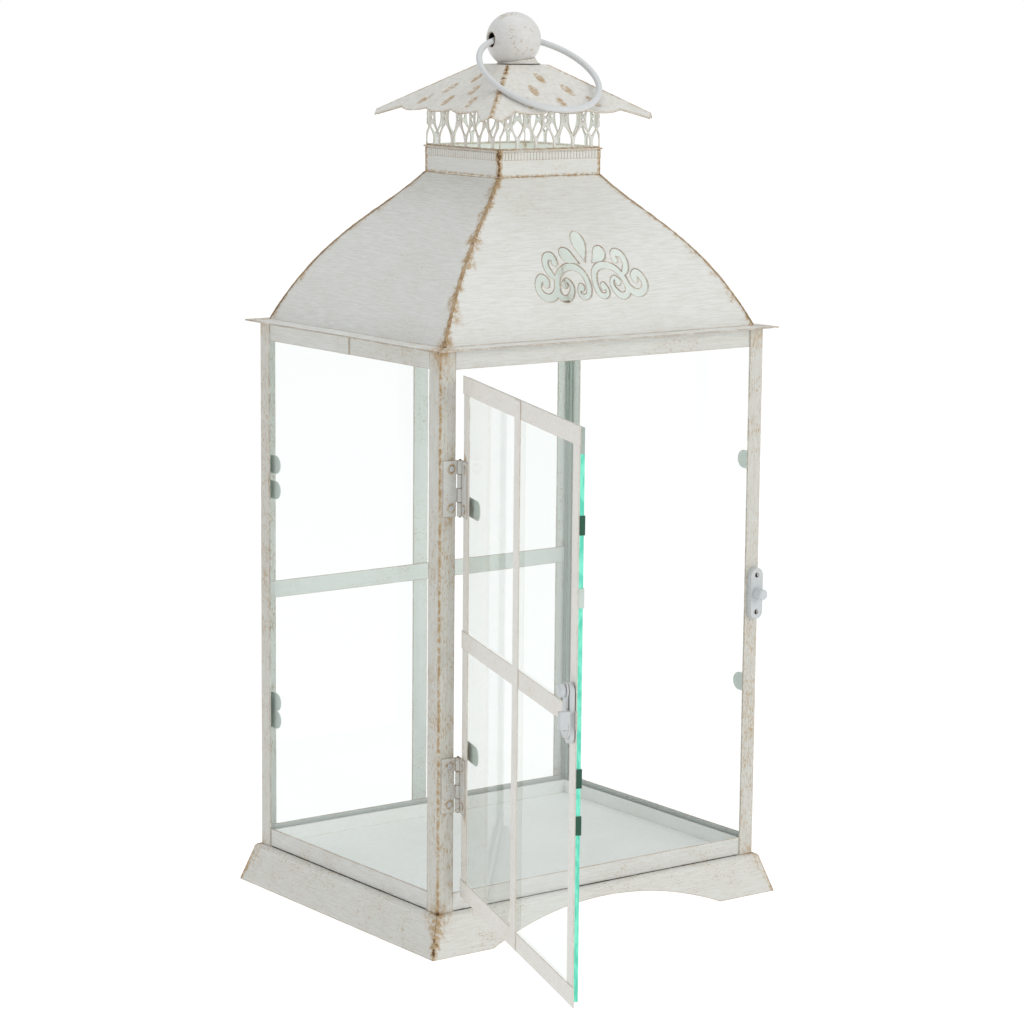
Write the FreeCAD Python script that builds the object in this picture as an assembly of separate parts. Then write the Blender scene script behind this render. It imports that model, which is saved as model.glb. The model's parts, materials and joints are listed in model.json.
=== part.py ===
import FreeCAD, Part
import math
import os

# Candle lantern in painted sheet steel and glass.  Millimetres, +Z up.
# The origin is the centre of the footprint, on the surface the lantern stands on.
# The door is on the front, -Y, and its hinges are on the left, -X.

# Driving dimensions
BODY_WIDTH = 222.0
BODY_DEPTH = 178.0
SHEET = 0.8
STRIP = 0.5
GLASS = 2.2
FIT_GAP = 0.2

BASE_FLARE = 9.0
BASE_HEIGHT = 22.0
BASE_SHOULDER = 3.0
ARCH_HALF_WIDTH = 80.0
ARCH_RISE = 15.5
TRAY_RIM_HEIGHT = 8.0

PANE_TOP_GAP = 2.0

POST_TOP = 326.0
POST_FLANGE = 10.0
POST_FOLD = 1.5
RAIL_HEIGHT = 10.4
RAIL_LAP_CENTRE = 3.6
RAIL_LAP = 5.0
BACK_BAR_HALF = 5.0
CROSSBAR_LOW = 166.0
CROSSBAR_HIGH = 175.8

ROOF_FOOT = 327.2
ROOF_TOP = 411.2
ROOF_FOOT_SHARE = 0.94
LIP_REACH = 6.0
LIP_DROP = 0.4
BELL_RISE = 0.70
BELL_POWER = 1.8
ROOF_STEPS = 9

NECK_HALF = 35.0
COLLAR_TOP = 425.8
BAND_LOW = 420.2
BAND_HIGH = 424.4
GALLERY_BAYS = 5.5
GALLERY_STEM = 2.0
GALLERY_SILL = 0.8
GALLERY_SPRING = 430.0
GALLERY_PEAK = 438.2
GALLERY_EYELET = 441.4
GALLERY_EYELET_RADIUS = 1.15
GALLERY_RIM = 1.2
LENS_LOW = 432.4
LENS_HEIGHT = 18.0
LENS_HALF = 3.9
UPPER_LENS_LOW = 443.4

HAT_PLATEAU_HALF = 14.0
HAT_PLATEAU = 471.15
HAT_TIP = 58.5
HAT_TIP_CUT = 51.0
HAT_LOBE_REACH = 53.0
HAT_LOBE_HALF = 12.0
HAT_SLOPE = 0.630
HAT_SHOULDER = 41.5
HAT_SHOULDER_REACH = 53.6
HAT_CUSP = 2.2

BALL_RADIUS = 15.3
BALL_CENTRE = 484.7
BORE_RADIUS = 4.0
FINIAL_TWIST = -5.0
RING_RADIUS = 34.5
RING_WIRE = 1.7
RING_SLACK = 1.7
RING_LEAN = 32.7
CUP_FOOT = 12.0
CUP_MOUTH = 9.5
CUP_HEIGHT = 3.8
CUP_SHIFT = (2.0, -1.5)
BALL_SEAT_GAP = 0.15

HINGE_X = -BODY_WIDTH / 2 + POST_FLANGE + 2.0
HINGE_Y = -BODY_DEPTH / 2 - 1.5
HINGE_HEIGHTS = (253.0, 92.5)
HINGE_LENGTH = 30.0
KNUCKLE_RADIUS = 1.5
PIN_RADIUS = 0.6
PIN_CLEARANCE = 0.05
LEAF_WIDTH = 8.4
DOOR_OPEN = 109.6

DOOR_LEFT = -97.0
DOOR_RIGHT = 102.0
DOOR_LOW = 31.5
DOOR_HIGH = 313.0
DOOR_BAR = 9.6
DOOR_MIDDLE = 172.3

CATCH_HEIGHT = 175.0
CATCH_LENGTH = 29.5
CATCH_WIDTH = 8.9
CATCH_FACE = -BODY_DEPTH / 2 - 3.3
STRIKE_X = 107.0
LATCH_X = 95.0
PIVOT_Z = 186.0
CATCH_HOLE = 1.4
CATCH_HOLE_SPACING = 10.6
SHANK_RADIUS = 1.5
STUD_RADIUS = 3.1
STUD_LENGTH = 6.4
STUD_EASE = 1.1
PIVOT_RADIUS = 3.3
PIVOT_LENGTH = 3.2
PIVOT_TAIL = 1.6
LEVER_EYE = 4.1
LEVER_ARM = 3.0
LEVER_GAP = 0.3
LEVER_SHEET = 1.0
NOTCH_RADIUS = 3.5
HOOK_RADIUS = 7.0
FINGER_OUT = 3.6
FINGER_HEIGHT = 9.0
FINGER_DROP = 1.5
CURL_RADIUS = 1.3

TAB_RADIUS = 5.2
TAB_SHEET = 0.5
SIDE_TABS = (
    (-1, 1, 244.7), (-1, 1, 230.1), (-1, 1, 106.9), (-1, 1, 96.5),
    (1, -1, 250.6), (1, -1, 122.0),
)
HINGE_CLIPS = (243.5, 111.8)
FREE_CLIPS = (265.7, 230.9, 143.7, 120.7)
CLIP_SHEET = 0.4
CLIP_GAP = 0.1
FREE_CLIP_HALF = 4.7
FREE_CLIP_REACH = 7.0
HINGE_CLIP_REACH = 16.0

RIVET_SPACING = 10.5
RIVET_HOLE = 0.95
RIVET_GAP = 0.05
RIVET_HEAD_RADIUS = 1.7
RIVET_HEAD_HEIGHT = 0.75
RIVET_TAIL_RADIUS = 1.5
RIVET_TAIL_HEIGHT = 0.3
PANE_RIVET_HOLE = 2.0

# Scroll cut-out, right half: each arm is a half-width, the (x, z) points along its
# middle, and the points where it ends in a round bulb.
SCROLL_ARMS = (
    (1.75, (
        (7.5, 353.6), (9.6, 351.8), (9.0, 348.9), (5.2, 348.4), (2.8, 351.6),
        (2.6, 356.6), (4.4, 361.2), (8.6, 363.8), (14.0, 363.9), (18.8, 361.8),
        (22.4, 357.6), (23.9, 352.6), (22.9, 349.0), (19.2, 347.6), (15.2, 350.2),
        (13.9, 354.8), (16.3, 357.4), (18.6, 355.0),
    ), ((7.5, 353.2), (18.2, 355.2))),
    (1.9, (
        (20.0, 366.6), (20.8, 369.8), (24.6, 369.9), (27.0, 366.0), (26.0, 361.8),
        (22.6, 358.6),
    ), ((20.6, 366.8),)),
    (2.0, (
        (22.4, 358.0), (24.2, 352.4), (28.2, 349.0), (33.2, 349.2), (36.2, 352.6),
        (35.2, 357.0), (31.6, 359.2), (29.2, 357.6), (30.6, 355.4),
    ), ((30.4, 356.0),)),
)
ARM_TIP = 0.45
SCROLL_BULB = 2.1
PETAL_BASE = 365.4
MIDDLE_PETAL = (16.6, 9.0, 0.0, 0.0)
SIDE_PETAL = (13.2, 7.6, 57.0, 4.0)

# Planes that follow from the driving dimensions
HALF_W = BODY_WIDTH / 2
HALF_D = BODY_DEPTH / 2
GLASS_INSET = 2 * SHEET + FIT_GAP
RIM_INSET = GLASS_INSET + GLASS + FIT_GAP
FRAME_RIVET_X = HINGE_X - 5.0
DOOR_RIVET_X = HINGE_X + 6.2
FRAME_LEAF_BACK = -HALF_D
DOOR_LEAF_BACK = -HALF_D - FIT_GAP
STILE_FACE = -HALF_D - FIT_GAP
STILE_BACK = STILE_FACE + STRIP
PANE_FACE = STILE_BACK + CLIP_GAP
PANE_BACK = PANE_FACE + GLASS
RAIL_FACE = STILE_FACE - STRIP
MUNTIN_FACE = RAIL_FACE - STRIP
PANE_LEFT = DOOR_LEFT + 0.7
PANE_RIGHT = DOOR_RIGHT - 2.6
LEVER_BACK = CATCH_FACE - LEVER_GAP
LEVER_FACE = LEVER_BACK - LEVER_SHEET

Z_AXIS = FreeCAD.Vector(0, 0, 1)
OUTWARD = FreeCAD.Vector(0, -1, 0)


def vec(x, y, z):
    return FreeCAD.Vector(x, y, z)


def block(x0, x1, y0, y1, z0, z1):
    return Part.makeBox(x1 - x0, y1 - y0, z1 - z0, vec(x0, y0, z0))


def fused(shapes):
    whole = shapes[0]
    if len(shapes) > 1:
        whole = whole.multiFuse(shapes[1:])
    return whole.removeSplitter()


def group(shapes):
    return Part.makeCompound(shapes)


def prism(points, depth):
    wire = Part.makePolygon(points + [points[0]])
    return Part.Face(wire).extrude(depth)


def turned(shape, degrees):
    copy = shape.copy()
    copy.rotate(vec(0, 0, 0), Z_AXIS, degrees)
    return copy


def rod(x, z, radius, y_front, y_back):
    return Part.makeCylinder(radius, y_back - y_front, vec(x, y_back, z), OUTWARD)


# ---- Base ---------------------------------------------------------------


def skirt(half_width, half_depth):
    """One flared panel of the base, on the -Y side of a rectangle of this half size."""
    face = -half_depth
    top = BASE_HEIGHT
    shoulder = vec(0, face - BASE_SHOULDER, top - BASE_SHOULDER)
    foot = vec(0, face - BASE_FLARE, 0)
    flare = (shoulder - foot).normalize()
    inward = vec(0, flare.z, -flare.y) * SHEET
    turn = BASE_SHOULDER * math.sqrt(0.5)
    outer_mid = vec(0, face - turn, top - BASE_SHOULDER + turn)
    inner_turn = (BASE_SHOULDER - SHEET) * math.sqrt(0.5)
    inner_mid = vec(0, face - inner_turn, top - BASE_SHOULDER + inner_turn)
    crown = vec(0, face, top)
    under_crown = vec(0, face, top - SHEET)
    under_shoulder = vec(0, face - BASE_SHOULDER + SHEET, top - BASE_SHOULDER)
    under_foot = foot + vec(0, inward.y - inward.z * flare.y / flare.z, 0)
    edges = [
        Part.LineSegment(foot, shoulder).toShape(),
        Part.Arc(shoulder, outer_mid, crown).toShape(),
        Part.LineSegment(crown, under_crown).toShape(),
        Part.Arc(under_crown, inner_mid, under_shoulder).toShape(),
        Part.LineSegment(under_shoulder, under_foot).toShape(),
        Part.LineSegment(under_foot, foot).toShape(),
    ]
    reach = half_width + 2 * BASE_FLARE
    band = Part.Face(Part.Wire(edges))
    band.translate(vec(-reach, 0, 0))
    panel = band.extrude(vec(2 * reach, 0, 0))
    flared_width = half_width + 2 * BASE_FLARE
    flared_face = face - 2 * BASE_FLARE
    mitre = prism([
        vec(-half_width, face, 0),
        vec(-flared_width, flared_face, 0),
        vec(flared_width, flared_face, 0),
        vec(half_width, face, 0),
    ], vec(0, 0, BASE_HEIGHT))
    return panel.common(mitre)


def front_skirt():
    radius = (ARCH_HALF_WIDTH ** 2 + ARCH_RISE ** 2) / (2 * ARCH_RISE)
    arch = rod(0, ARCH_RISE - radius, radius, -HALF_D - 3 * BASE_FLARE, -HALF_D + 1)
    return skirt(HALF_W, HALF_D).cut(arch)


def floor_tray():
    plate = block(-HALF_W, HALF_W, -HALF_D, HALF_D, BASE_HEIGHT - SHEET, BASE_HEIGHT)
    rim_w = HALF_W - RIM_INSET
    rim_d = HALF_D - RIM_INSET
    top = BASE_HEIGHT + TRAY_RIM_HEIGHT
    rim = block(-rim_w, rim_w, -rim_d, rim_d, BASE_HEIGHT - SHEET, top)
    well_w = rim_w - SHEET
    well_d = rim_d - SHEET
    well = block(-well_w, well_w, -well_d, well_d, BASE_HEIGHT, top)
    return plate.fuse(rim).cut(well).removeSplitter()


# ---- Cage: posts, rails, glass ------------------------------------------


def corner_post(side_x, side_y):
    """A folded angle, its fold on the outside corner."""
    outer = block(-HALF_W, -HALF_W + POST_FLANGE, -HALF_D, -HALF_D + POST_FLANGE,
                  BASE_HEIGHT, POST_TOP)
    inner = block(-HALF_W + SHEET, HALF_W, -HALF_D + SHEET, HALF_D, BASE_HEIGHT, POST_TOP)
    angle = outer.cut(inner)
    outside = [e for e in angle.Edges if is_upright_at(e, -HALF_W, -HALF_D)]
    angle = angle.makeFillet(POST_FOLD, outside)
    inside = [e for e in angle.Edges if is_upright_at(e, -HALF_W + SHEET, -HALF_D + SHEET)]
    angle = angle.makeFillet(POST_FOLD - SHEET, inside)
    if side_x > 0:
        angle = angle.mirror(vec(0, 0, 0), vec(1, 0, 0))
    if side_y > 0:
        angle = angle.mirror(vec(0, 0, 0), vec(0, 1, 0))
    return angle


def is_upright_at(edge, x, y):
    ends = [vertex.Point for vertex in edge.Vertexes]
    return len(ends) == 2 and all(math.hypot(p.x - x, p.y - y) < 1e-6 for p in ends)


def long_rail(side_y, low):
    near = HALF_D - 2 * SHEET
    far = HALF_D - SHEET
    y0, y1 = (near, far) if side_y > 0 else (-far, -near)
    return block(-HALF_W + SHEET, HALF_W - SHEET, y0, y1, low, low + RAIL_HEIGHT)


def side_strip(side_x, layer, y0, y1, low):
    """An upright strip on one side; layer 0 is level with the post, layer 1 is behind it."""
    far = HALF_W - layer * SHEET
    near = far - SHEET
    x0, x1 = (near, far) if side_x > 0 else (-far, -near)
    return block(x0, x1, y0, y1, low, low + RAIL_HEIGHT)


def side_rail(side_x, low):
    end = HALF_D - 2 * SHEET
    return side_strip(side_x, 1, -end, end, low)


def lapped_top_rails():
    """The left top rail is two strips; the front one steps out over the rear one's end."""
    low = POST_TOP - RAIL_HEIGHT
    end = HALF_D - 2 * SHEET
    start = RAIL_LAP_CENTRE - RAIL_LAP
    flat = side_strip(-1, 1, -end, start, low)
    step = side_strip(-1, 0, start - SHEET, RAIL_LAP_CENTRE + RAIL_LAP, low)
    rear = side_strip(-1, 1, start + STRIP, end, low)
    return flat.fuse(step).removeSplitter(), rear


def side_glass(side_x):
    far = HALF_W - GLASS_INSET
    near = far - GLASS
    x0, x1 = (near, far) if side_x > 0 else (-far, -near)
    front = -HALF_D + GLASS_INSET + FIT_GAP
    back = HALF_D - RIM_INSET
    return block(x0, x1, front, back, BASE_HEIGHT + FIT_GAP, POST_TOP - PANE_TOP_GAP)


def back_glass():
    half = HALF_W - RIM_INSET
    far = HALF_D - GLASS_INSET
    return block(-half, half, far - GLASS, far, BASE_HEIGHT + FIT_GAP, POST_TOP - PANE_TOP_GAP)


def back_upright():
    return block(-BACK_BAR_HALF, BACK_BAR_HALF, HALF_D - SHEET, HALF_D,
                 BASE_HEIGHT + PANE_TOP_GAP, POST_TOP - PANE_TOP_GAP)


def back_crossbar():
    near = HALF_D - 2 * SHEET
    return block(-HALF_W + SHEET, HALF_W - SHEET, near, near + SHEET,
                 CROSSBAR_LOW, CROSSBAR_HIGH)


def side_tab(side_x, side_y, z):
    """A half-round tab bent over the inner face of a side pane."""
    x = side_x * (HALF_W - RIM_INSET + FIT_GAP)
    thick = vec(-side_x * TAB_SHEET, 0, 0)
    edge = side_y * (HALF_D - POST_FLANGE)
    root = side_y * (HALF_D - RIM_INSET - FIT_GAP)
    disc = Part.Face(Part.Wire(Part.makeCircle(TAB_RADIUS, vec(x, edge, z), vec(1, 0, 0))))
    strip = prism([
        vec(x, edge, z - TAB_RADIUS),
        vec(x, root, z - TAB_RADIUS),
        vec(x, root, z + TAB_RADIUS),
        vec(x, edge, z + TAB_RADIUS),
    ], thick)
    return disc.extrude(thick).fuse(strip).removeSplitter()


def glass_clips():
    return group([side_tab(*place) for place in SIDE_TABS])


# ---- Roof ---------------------------------------------------------------


def roof_height(share):
    """Height of the bell curve, share 0 at the neck and ROOF_FOOT_SHARE at the foot."""
    u = share / ROOF_FOOT_SHARE
    bell = BELL_RISE * u ** BELL_POWER * (1.0 - u)
    return ROOF_FOOT + (ROOF_TOP - ROOF_FOOT) * (1.0 - u + bell)


def spline(points):
    curve = Part.BSplineCurve()
    curve.interpolate(points)
    return curve.toShape()


def roof_panel(half_width, half_depth):
    """The -Y panel of the roof: a bell-curved sheet with a lip, mitred at its hips."""
    spread = half_depth - NECK_HALF
    outer = []
    inner = []
    for i in range(ROOF_STEPS + 1):
        share = ROOF_FOOT_SHARE * i / ROOF_STEPS
        here = vec(0, -NECK_HALF - spread * share, roof_height(share))
        ahead = vec(0, -NECK_HALF - spread * (share + 0.001), roof_height(share + 0.001))
        behind_share = max(share - 0.001, 0.0)
        behind = vec(0, -NECK_HALF - spread * behind_share, roof_height(behind_share))
        along = (ahead - behind).normalize()
        outer.append(here)
        inner.append(here + vec(0, -along.z, along.y) * SHEET)
    foot_y = outer[-1].y
    tip_y = -half_depth - LIP_REACH
    tip = vec(0, tip_y, ROOF_FOOT - LIP_DROP)
    under_tip = tip - vec(0, 0, SHEET)
    heel = vec(0, inner[-1].y, ROOF_FOOT - SHEET)
    edges = [
        spline(outer),
        Part.LineSegment(outer[-1], tip).toShape(),
        Part.LineSegment(tip, under_tip).toShape(),
        Part.LineSegment(under_tip, heel).toShape(),
        Part.LineSegment(heel, inner[-1]).toShape(),
        spline(inner[::-1]),
        Part.LineSegment(inner[0], outer[0]).toShape(),
    ]
    reach = half_width + 2 * LIP_REACH
    band = Part.Face(Part.Wire(edges))
    band.translate(vec(-reach, 0, 0))
    sheet = band.extrude(vec(2 * reach, 0, 0))
    foot_x = NECK_HALF + (half_width - NECK_HALF) * ROOF_FOOT_SHARE
    tip_x = half_width + LIP_REACH
    core = 20.0
    low = ROOF_FOOT - 5.0
    mitre = prism([
        vec(-core, -core, low),
        vec(-NECK_HALF, -NECK_HALF, low),
        vec(-foot_x, foot_y, low),
        vec(-tip_x, tip_y, low),
        vec(tip_x, tip_y, low),
        vec(foot_x, foot_y, low),
        vec(NECK_HALF, -NECK_HALF, low),
        vec(core, -core, low),
    ], vec(0, 0, ROOF_TOP - low + 5.0))
    return sheet.common(mitre)


def scroll_arm(half_width, points, bulbs):
    """A cutter of this half width along a smooth line, with bulbs at its free ends."""
    line = Part.BSplineCurve()
    line.interpolate([vec(x, 0, z) for x, z in points])
    first, last = line.FirstParameter, line.LastParameter
    steps = 6 * len(points)
    left = []
    right = []
    for i in range(steps + 1):
        at = first + (last - first) * i / steps
        middle = line.value(at)
        tangent = vec(*line.tangent(at)[0])
        side = vec(-tangent.z, 0, tangent.x)
        taper = min(1.0, ARM_TIP + 3.0 * i / steps, ARM_TIP + 3.0 * (steps - i) / steps)
        left.append(middle + side * half_width * taper)
        right.append(middle - side * half_width * taper)
    edges = [
        spline(left),
        Part.LineSegment(left[-1], right[-1]).toShape(),
        spline(right[::-1]),
        Part.LineSegment(right[0], left[0]).toShape(),
    ]
    arm = Part.Face(Part.Wire(edges)).extrude(vec(0, -2 * HALF_D, 0))
    return [arm] + [rod(x, z, SCROLL_BULB, -2 * HALF_D, 0) for x, z in bulbs]


def petal(length, width, lean, x):
    """A teardrop cutter standing on its point, leaning by this many degrees."""
    widest = 0.66 * length
    edge = Part.BSplineCurve()
    edge.interpolate([
        vec(0, 0, 0), vec(width * 0.30, 0, length * 0.35), vec(width / 2, 0, widest),
        vec(width * 0.30, 0, length * 0.93), vec(0, 0, length),
    ])
    other = Part.BSplineCurve()
    other.interpolate([
        vec(0, 0, length), vec(-width * 0.30, 0, length * 0.93), vec(-width / 2, 0, widest),
        vec(-width * 0.30, 0, length * 0.35), vec(0, 0, 0),
    ])
    face = Part.Face(Part.Wire([edge.toShape(), other.toShape()]))
    cutter = face.extrude(vec(0, -2 * HALF_D, 0))
    cutter.rotate(vec(0, 0, 0), vec(0, 1, 0), lean)
    cutter.translate(vec(x, 0, PETAL_BASE))
    return cutter


def scroll_cutters():
    half = [petal(*SIDE_PETAL)]
    for arm in SCROLL_ARMS:
        half += scroll_arm(*arm)
    mirrored = [cutter.mirror(vec(0, 0, 0), vec(1, 0, 0)) for cutter in half]
    return half + mirrored + [petal(*MIDDLE_PETAL)]


def scrolled_roof_panel():
    panel = roof_panel(HALF_W, HALF_D)
    for cutter in scroll_cutters():
        panel = panel.cut(cutter)
    return panel


# ---- Neck, gallery and hat ----------------------------------------------


def square_tube(half, wall, low, high):
    outer = block(-half, half, -half, half, low, high)
    inner = block(-half + wall, half - wall, -half + wall, half - wall, low, high)
    return outer.cut(inner)


def collar():
    wall = square_tube(NECK_HALF, SHEET, ROOF_TOP, COLLAR_TOP)
    ledge = square_tube(NECK_HALF + SHEET, 2 * SHEET, COLLAR_TOP - SHEET, COLLAR_TOP)
    return wall.fuse(ledge).removeSplitter()


def collar_band():
    return square_tube(NECK_HALF + STRIP, STRIP, BAND_LOW, BAND_HIGH)


def gallery_side():
    """A pierced strip on the -Y side: arches between stems, with eyelets and lenses above."""
    pitch = 2 * NECK_HALF / GALLERY_BAYS
    top = hat_height(NECK_HALF) - sloped_sheet() - FIT_GAP / 2
    plate = block(-NECK_HALF + SHEET, NECK_HALF - SHEET, -NECK_HALF, -NECK_HALF + SHEET,
                  COLLAR_TOP, top)
    cutters = []
    for i in range(-1, int(GALLERY_BAYS) + 2):
        stem = -NECK_HALF + i * pitch
        middle = stem + pitch / 2
        cutters.append(arch_hole(middle, (pitch - GALLERY_STEM) / 2))
        cutters.append(lens_hole(stem, LENS_LOW))
        cutters.append(lens_hole(middle, UPPER_LENS_LOW))
        cutters.append(rod(middle, GALLERY_EYELET, GALLERY_EYELET_RADIUS, -2 * NECK_HALF, 0))
    for cutter in cutters:
        plate = plate.cut(cutter)
    rim = block(-NECK_HALF + SHEET, NECK_HALF - SHEET, -NECK_HALF, -NECK_HALF + SHEET,
                top - GALLERY_RIM, top)
    return plate.fuse(rim).removeSplitter()


def pierced(corners):
    """A cutter through the gallery's side, from (x, z, bulge) places joined by arcs."""
    edges = []
    for (x0, z0, bulge), (x1, z1, _) in zip(corners, corners[1:] + corners[:1]):
        start = vec(x0, 0, z0)
        finish = vec(x1, 0, z1)
        if bulge == 0.0:
            edges.append(Part.makeLine(start, finish))
        else:
            across = vec(z1 - z0, 0, x0 - x1).normalize() * bulge
            middle = (start + finish) * 0.5 + across
            edges.append(Part.Arc(start, middle, finish).toShape())
    return Part.Face(Part.Wire(edges)).extrude(vec(0, -2 * NECK_HALF, 0))


def arch_hole(centre, half_open):
    """A pointed arch between two stems."""
    sill = COLLAR_TOP + GALLERY_SILL
    left = centre - half_open
    right = centre + half_open
    bulge = half_open / 6
    return pierced([
        (left, sill, 0.0),
        (right, sill, 0.0),
        (right, GALLERY_SPRING, bulge),
        (centre, GALLERY_PEAK, bulge),
        (left, GALLERY_SPRING, 0.0),
    ])


def lens_hole(centre, low):
    """A pointed oval, standing on its point."""
    return pierced([(centre, low, LENS_HALF), (centre, low + LENS_HEIGHT, LENS_HALF)])


def sloped_sheet():
    """The hat sheet's thickness measured straight up."""
    return SHEET * math.sqrt(1.0 + HAT_SLOPE ** 2)


def hat_height(distance):
    """Height of the hat's upper face at this distance from the centre plane."""
    return HAT_PLATEAU - HAT_SLOPE * (distance - HAT_PLATEAU_HALF)


def pyramid(top_half, top_z, low_half):
    """A square frustum with the hat's slope."""
    low_z = top_z - HAT_SLOPE * (low_half - top_half)
    rings = []
    for half, z in ((low_half, low_z), (top_half, top_z)):
        corners = [vec(-half, -half, z), vec(half, -half, z), vec(half, half, z),
                   vec(-half, half, z), vec(-half, -half, z)]
        rings.append(Part.makePolygon(corners))
    return Part.makeLoft(rings, True, True)


def hat_outline():
    """Plan of the hat: three lobes on each side between flared, blunt corner tips."""
    edges = []
    for turn in range(4):
        side = []
        start = vec(-HAT_TIP_CUT, -HAT_TIP, 0)
        lobe_ends = [-3 * HAT_LOBE_HALF, -HAT_LOBE_HALF, HAT_LOBE_HALF, 3 * HAT_LOBE_HALF]
        cusp = -(HAT_LOBE_REACH - HAT_CUSP)
        first = vec(lobe_ends[0], cusp, 0)
        last = vec(lobe_ends[-1], cusp, 0)
        finish = vec(HAT_TIP_CUT, -HAT_TIP, 0)
        side.append(Part.Arc(start, vec(-HAT_SHOULDER, -HAT_SHOULDER_REACH, 0), first))
        for a, b in zip(lobe_ends, lobe_ends[1:]):
            middle = vec((a + b) / 2, -HAT_LOBE_REACH, 0)
            side.append(Part.Arc(vec(a, cusp, 0), middle, vec(b, cusp, 0)))
        side.append(Part.Arc(last, vec(HAT_SHOULDER, -HAT_SHOULDER_REACH, 0), finish))
        corner = vec(HAT_TIP, -HAT_TIP_CUT, 0)
        side.append(Part.LineSegment(finish, corner))
        for edge in side:
            edges.append(turned(edge.toShape(), 90.0 * turn))
    face = Part.Face(Part.Wire(Part.__sortEdges__(edges)))
    face.translate(vec(0, 0, HAT_PLATEAU - 40.0))
    return face.extrude(vec(0, 0, 60.0))


def ball_seat():
    """The room the ball takes in the hat and in its cup."""
    return Part.makeSphere(BALL_RADIUS + BALL_SEAT_GAP, vec(0, 0, BALL_CENTRE))


def hat_roof():
    apex_shift = (sloped_sheet() - SHEET) / HAT_SLOPE
    outer = pyramid(HAT_PLATEAU_HALF, HAT_PLATEAU, HAT_TIP + 4.0)
    inner = pyramid(HAT_PLATEAU_HALF - apex_shift, HAT_PLATEAU - SHEET, HAT_TIP + 8.0)
    return outer.cut(inner).common(hat_outline()).cut(ball_seat())


# ---- Finial and ring ----------------------------------------------------


def finial_cup():
    """A low cone under the ball, set a little to one side."""
    cone = Part.makeCone(CUP_FOOT, CUP_MOUTH, CUP_HEIGHT, vec(*CUP_SHIFT, HAT_PLATEAU))
    return cone.cut(ball_seat())


def finial_ball():
    """A ball turned about the axis of its own bore, which the ring passes through."""
    reach = math.sqrt(BALL_RADIUS ** 2 - BORE_RADIUS ** 2)
    left = vec(-reach, 0, BORE_RADIUS)
    right = vec(reach, 0, BORE_RADIUS)
    outside = Part.Arc(left, vec(0, 0, BALL_RADIUS), right).toShape()
    inside = Part.makeLine(right, left)
    section = Part.Face(Part.Wire([outside, inside]))
    ball = section.revolve(vec(0, 0, 0), vec(1, 0, 0), 360)
    ball.translate(vec(0, 0, BALL_CENTRE))
    return turned(ball, FINIAL_TWIST)


def carry_ring():
    """The ring hangs through the ball and leans on the front edge of the hat."""
    reach = RING_RADIUS - RING_SLACK
    lean = math.radians(RING_LEAN)
    centre = vec(0, -reach * math.cos(lean), BALL_CENTRE - reach * math.sin(lean))
    normal = vec(0, -math.sin(lean), math.cos(lean))
    return turned(Part.makeTorus(RING_RADIUS, RING_WIRE, centre, normal), FINIAL_TWIST)


# ---- Hinges -------------------------------------------------------------


def hinge_leaf(middle, side, back, rivet_x):
    """One leaf with two of the four knuckles; side -1 is the post, +1 the door."""
    slot = HINGE_LENGTH / 4
    gap = 0.1
    bottom = middle - HINGE_LENGTH / 2
    outer_x = HINGE_X + side * (LEAF_WIDTH + 2.0)
    inner_x = HINGE_X + side * 2.0
    x0, x1 = sorted((outer_x, inner_x))
    pieces = [block(x0, x1, back - SHEET, back, bottom, bottom + HINGE_LENGTH)]
    first = 1 if side < 0 else 0
    for i in (first, first + 2):
        low = bottom + i * slot + gap
        high = bottom + (i + 1) * slot - gap
        a, b = sorted((inner_x, HINGE_X))
        pieces.append(block(a, b, back - SHEET, back, low, high))
        pieces.append(Part.makeCylinder(KNUCKLE_RADIUS, high - low, vec(HINGE_X, HINGE_Y, low)))
    leaf = fused(pieces)
    hole = PIN_RADIUS + PIN_CLEARANCE
    leaf = leaf.cut(Part.makeCylinder(hole, HINGE_LENGTH, vec(HINGE_X, HINGE_Y, bottom)))
    for z in rivet_heights(middle):
        leaf = leaf.cut(rod(rivet_x, z, RIVET_HOLE, back - 2 * SHEET, back + SHEET))
    return leaf


def rivet_heights(middle):
    return (middle - RIVET_SPACING, middle + RIVET_SPACING)


def hinge_pins():
    length = HINGE_LENGTH + 1.2
    pins = []
    for middle in HINGE_HEIGHTS:
        foot = vec(HINGE_X, HINGE_Y, middle - length / 2)
        pins.append(Part.makeCylinder(PIN_RADIUS, length, foot))
    return group(pins)


def rivet(x, z, face, back):
    """A dome-headed rivet from its head's seat on the face to its tail behind."""
    shank = rod(x, z, RIVET_HOLE - RIVET_GAP, face, back)
    dome_radius = (RIVET_HEAD_RADIUS ** 2 + RIVET_HEAD_HEIGHT ** 2) / (2 * RIVET_HEAD_HEIGHT)
    dome = Part.makeSphere(dome_radius, vec(x, face - RIVET_HEAD_HEIGHT + dome_radius, z))
    head = dome.common(rod(x, z, RIVET_HEAD_RADIUS, face - RIVET_HEAD_HEIGHT, face))
    tail = rod(x, z, RIVET_TAIL_RADIUS, back, back + RIVET_TAIL_HEIGHT)
    return fused([shank, head, tail])


def frame_rivets():
    rivets = []
    for middle in HINGE_HEIGHTS:
        for z in rivet_heights(middle):
            rivets.append(rivet(FRAME_RIVET_X, z, FRAME_LEAF_BACK - SHEET, -HALF_D + SHEET))
    return group(rivets)


# ---- Door, drawn closed -------------------------------------------------


def door_rail(low):
    return block(DOOR_LEFT, DOOR_RIGHT, RAIL_FACE, STILE_FACE, low, low + DOOR_BAR)


def door_stile(left):
    return block(left, left + DOOR_BAR, STILE_FACE, STILE_BACK, DOOR_LOW + 1.5, DOOR_HIGH - 0.5)


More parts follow.
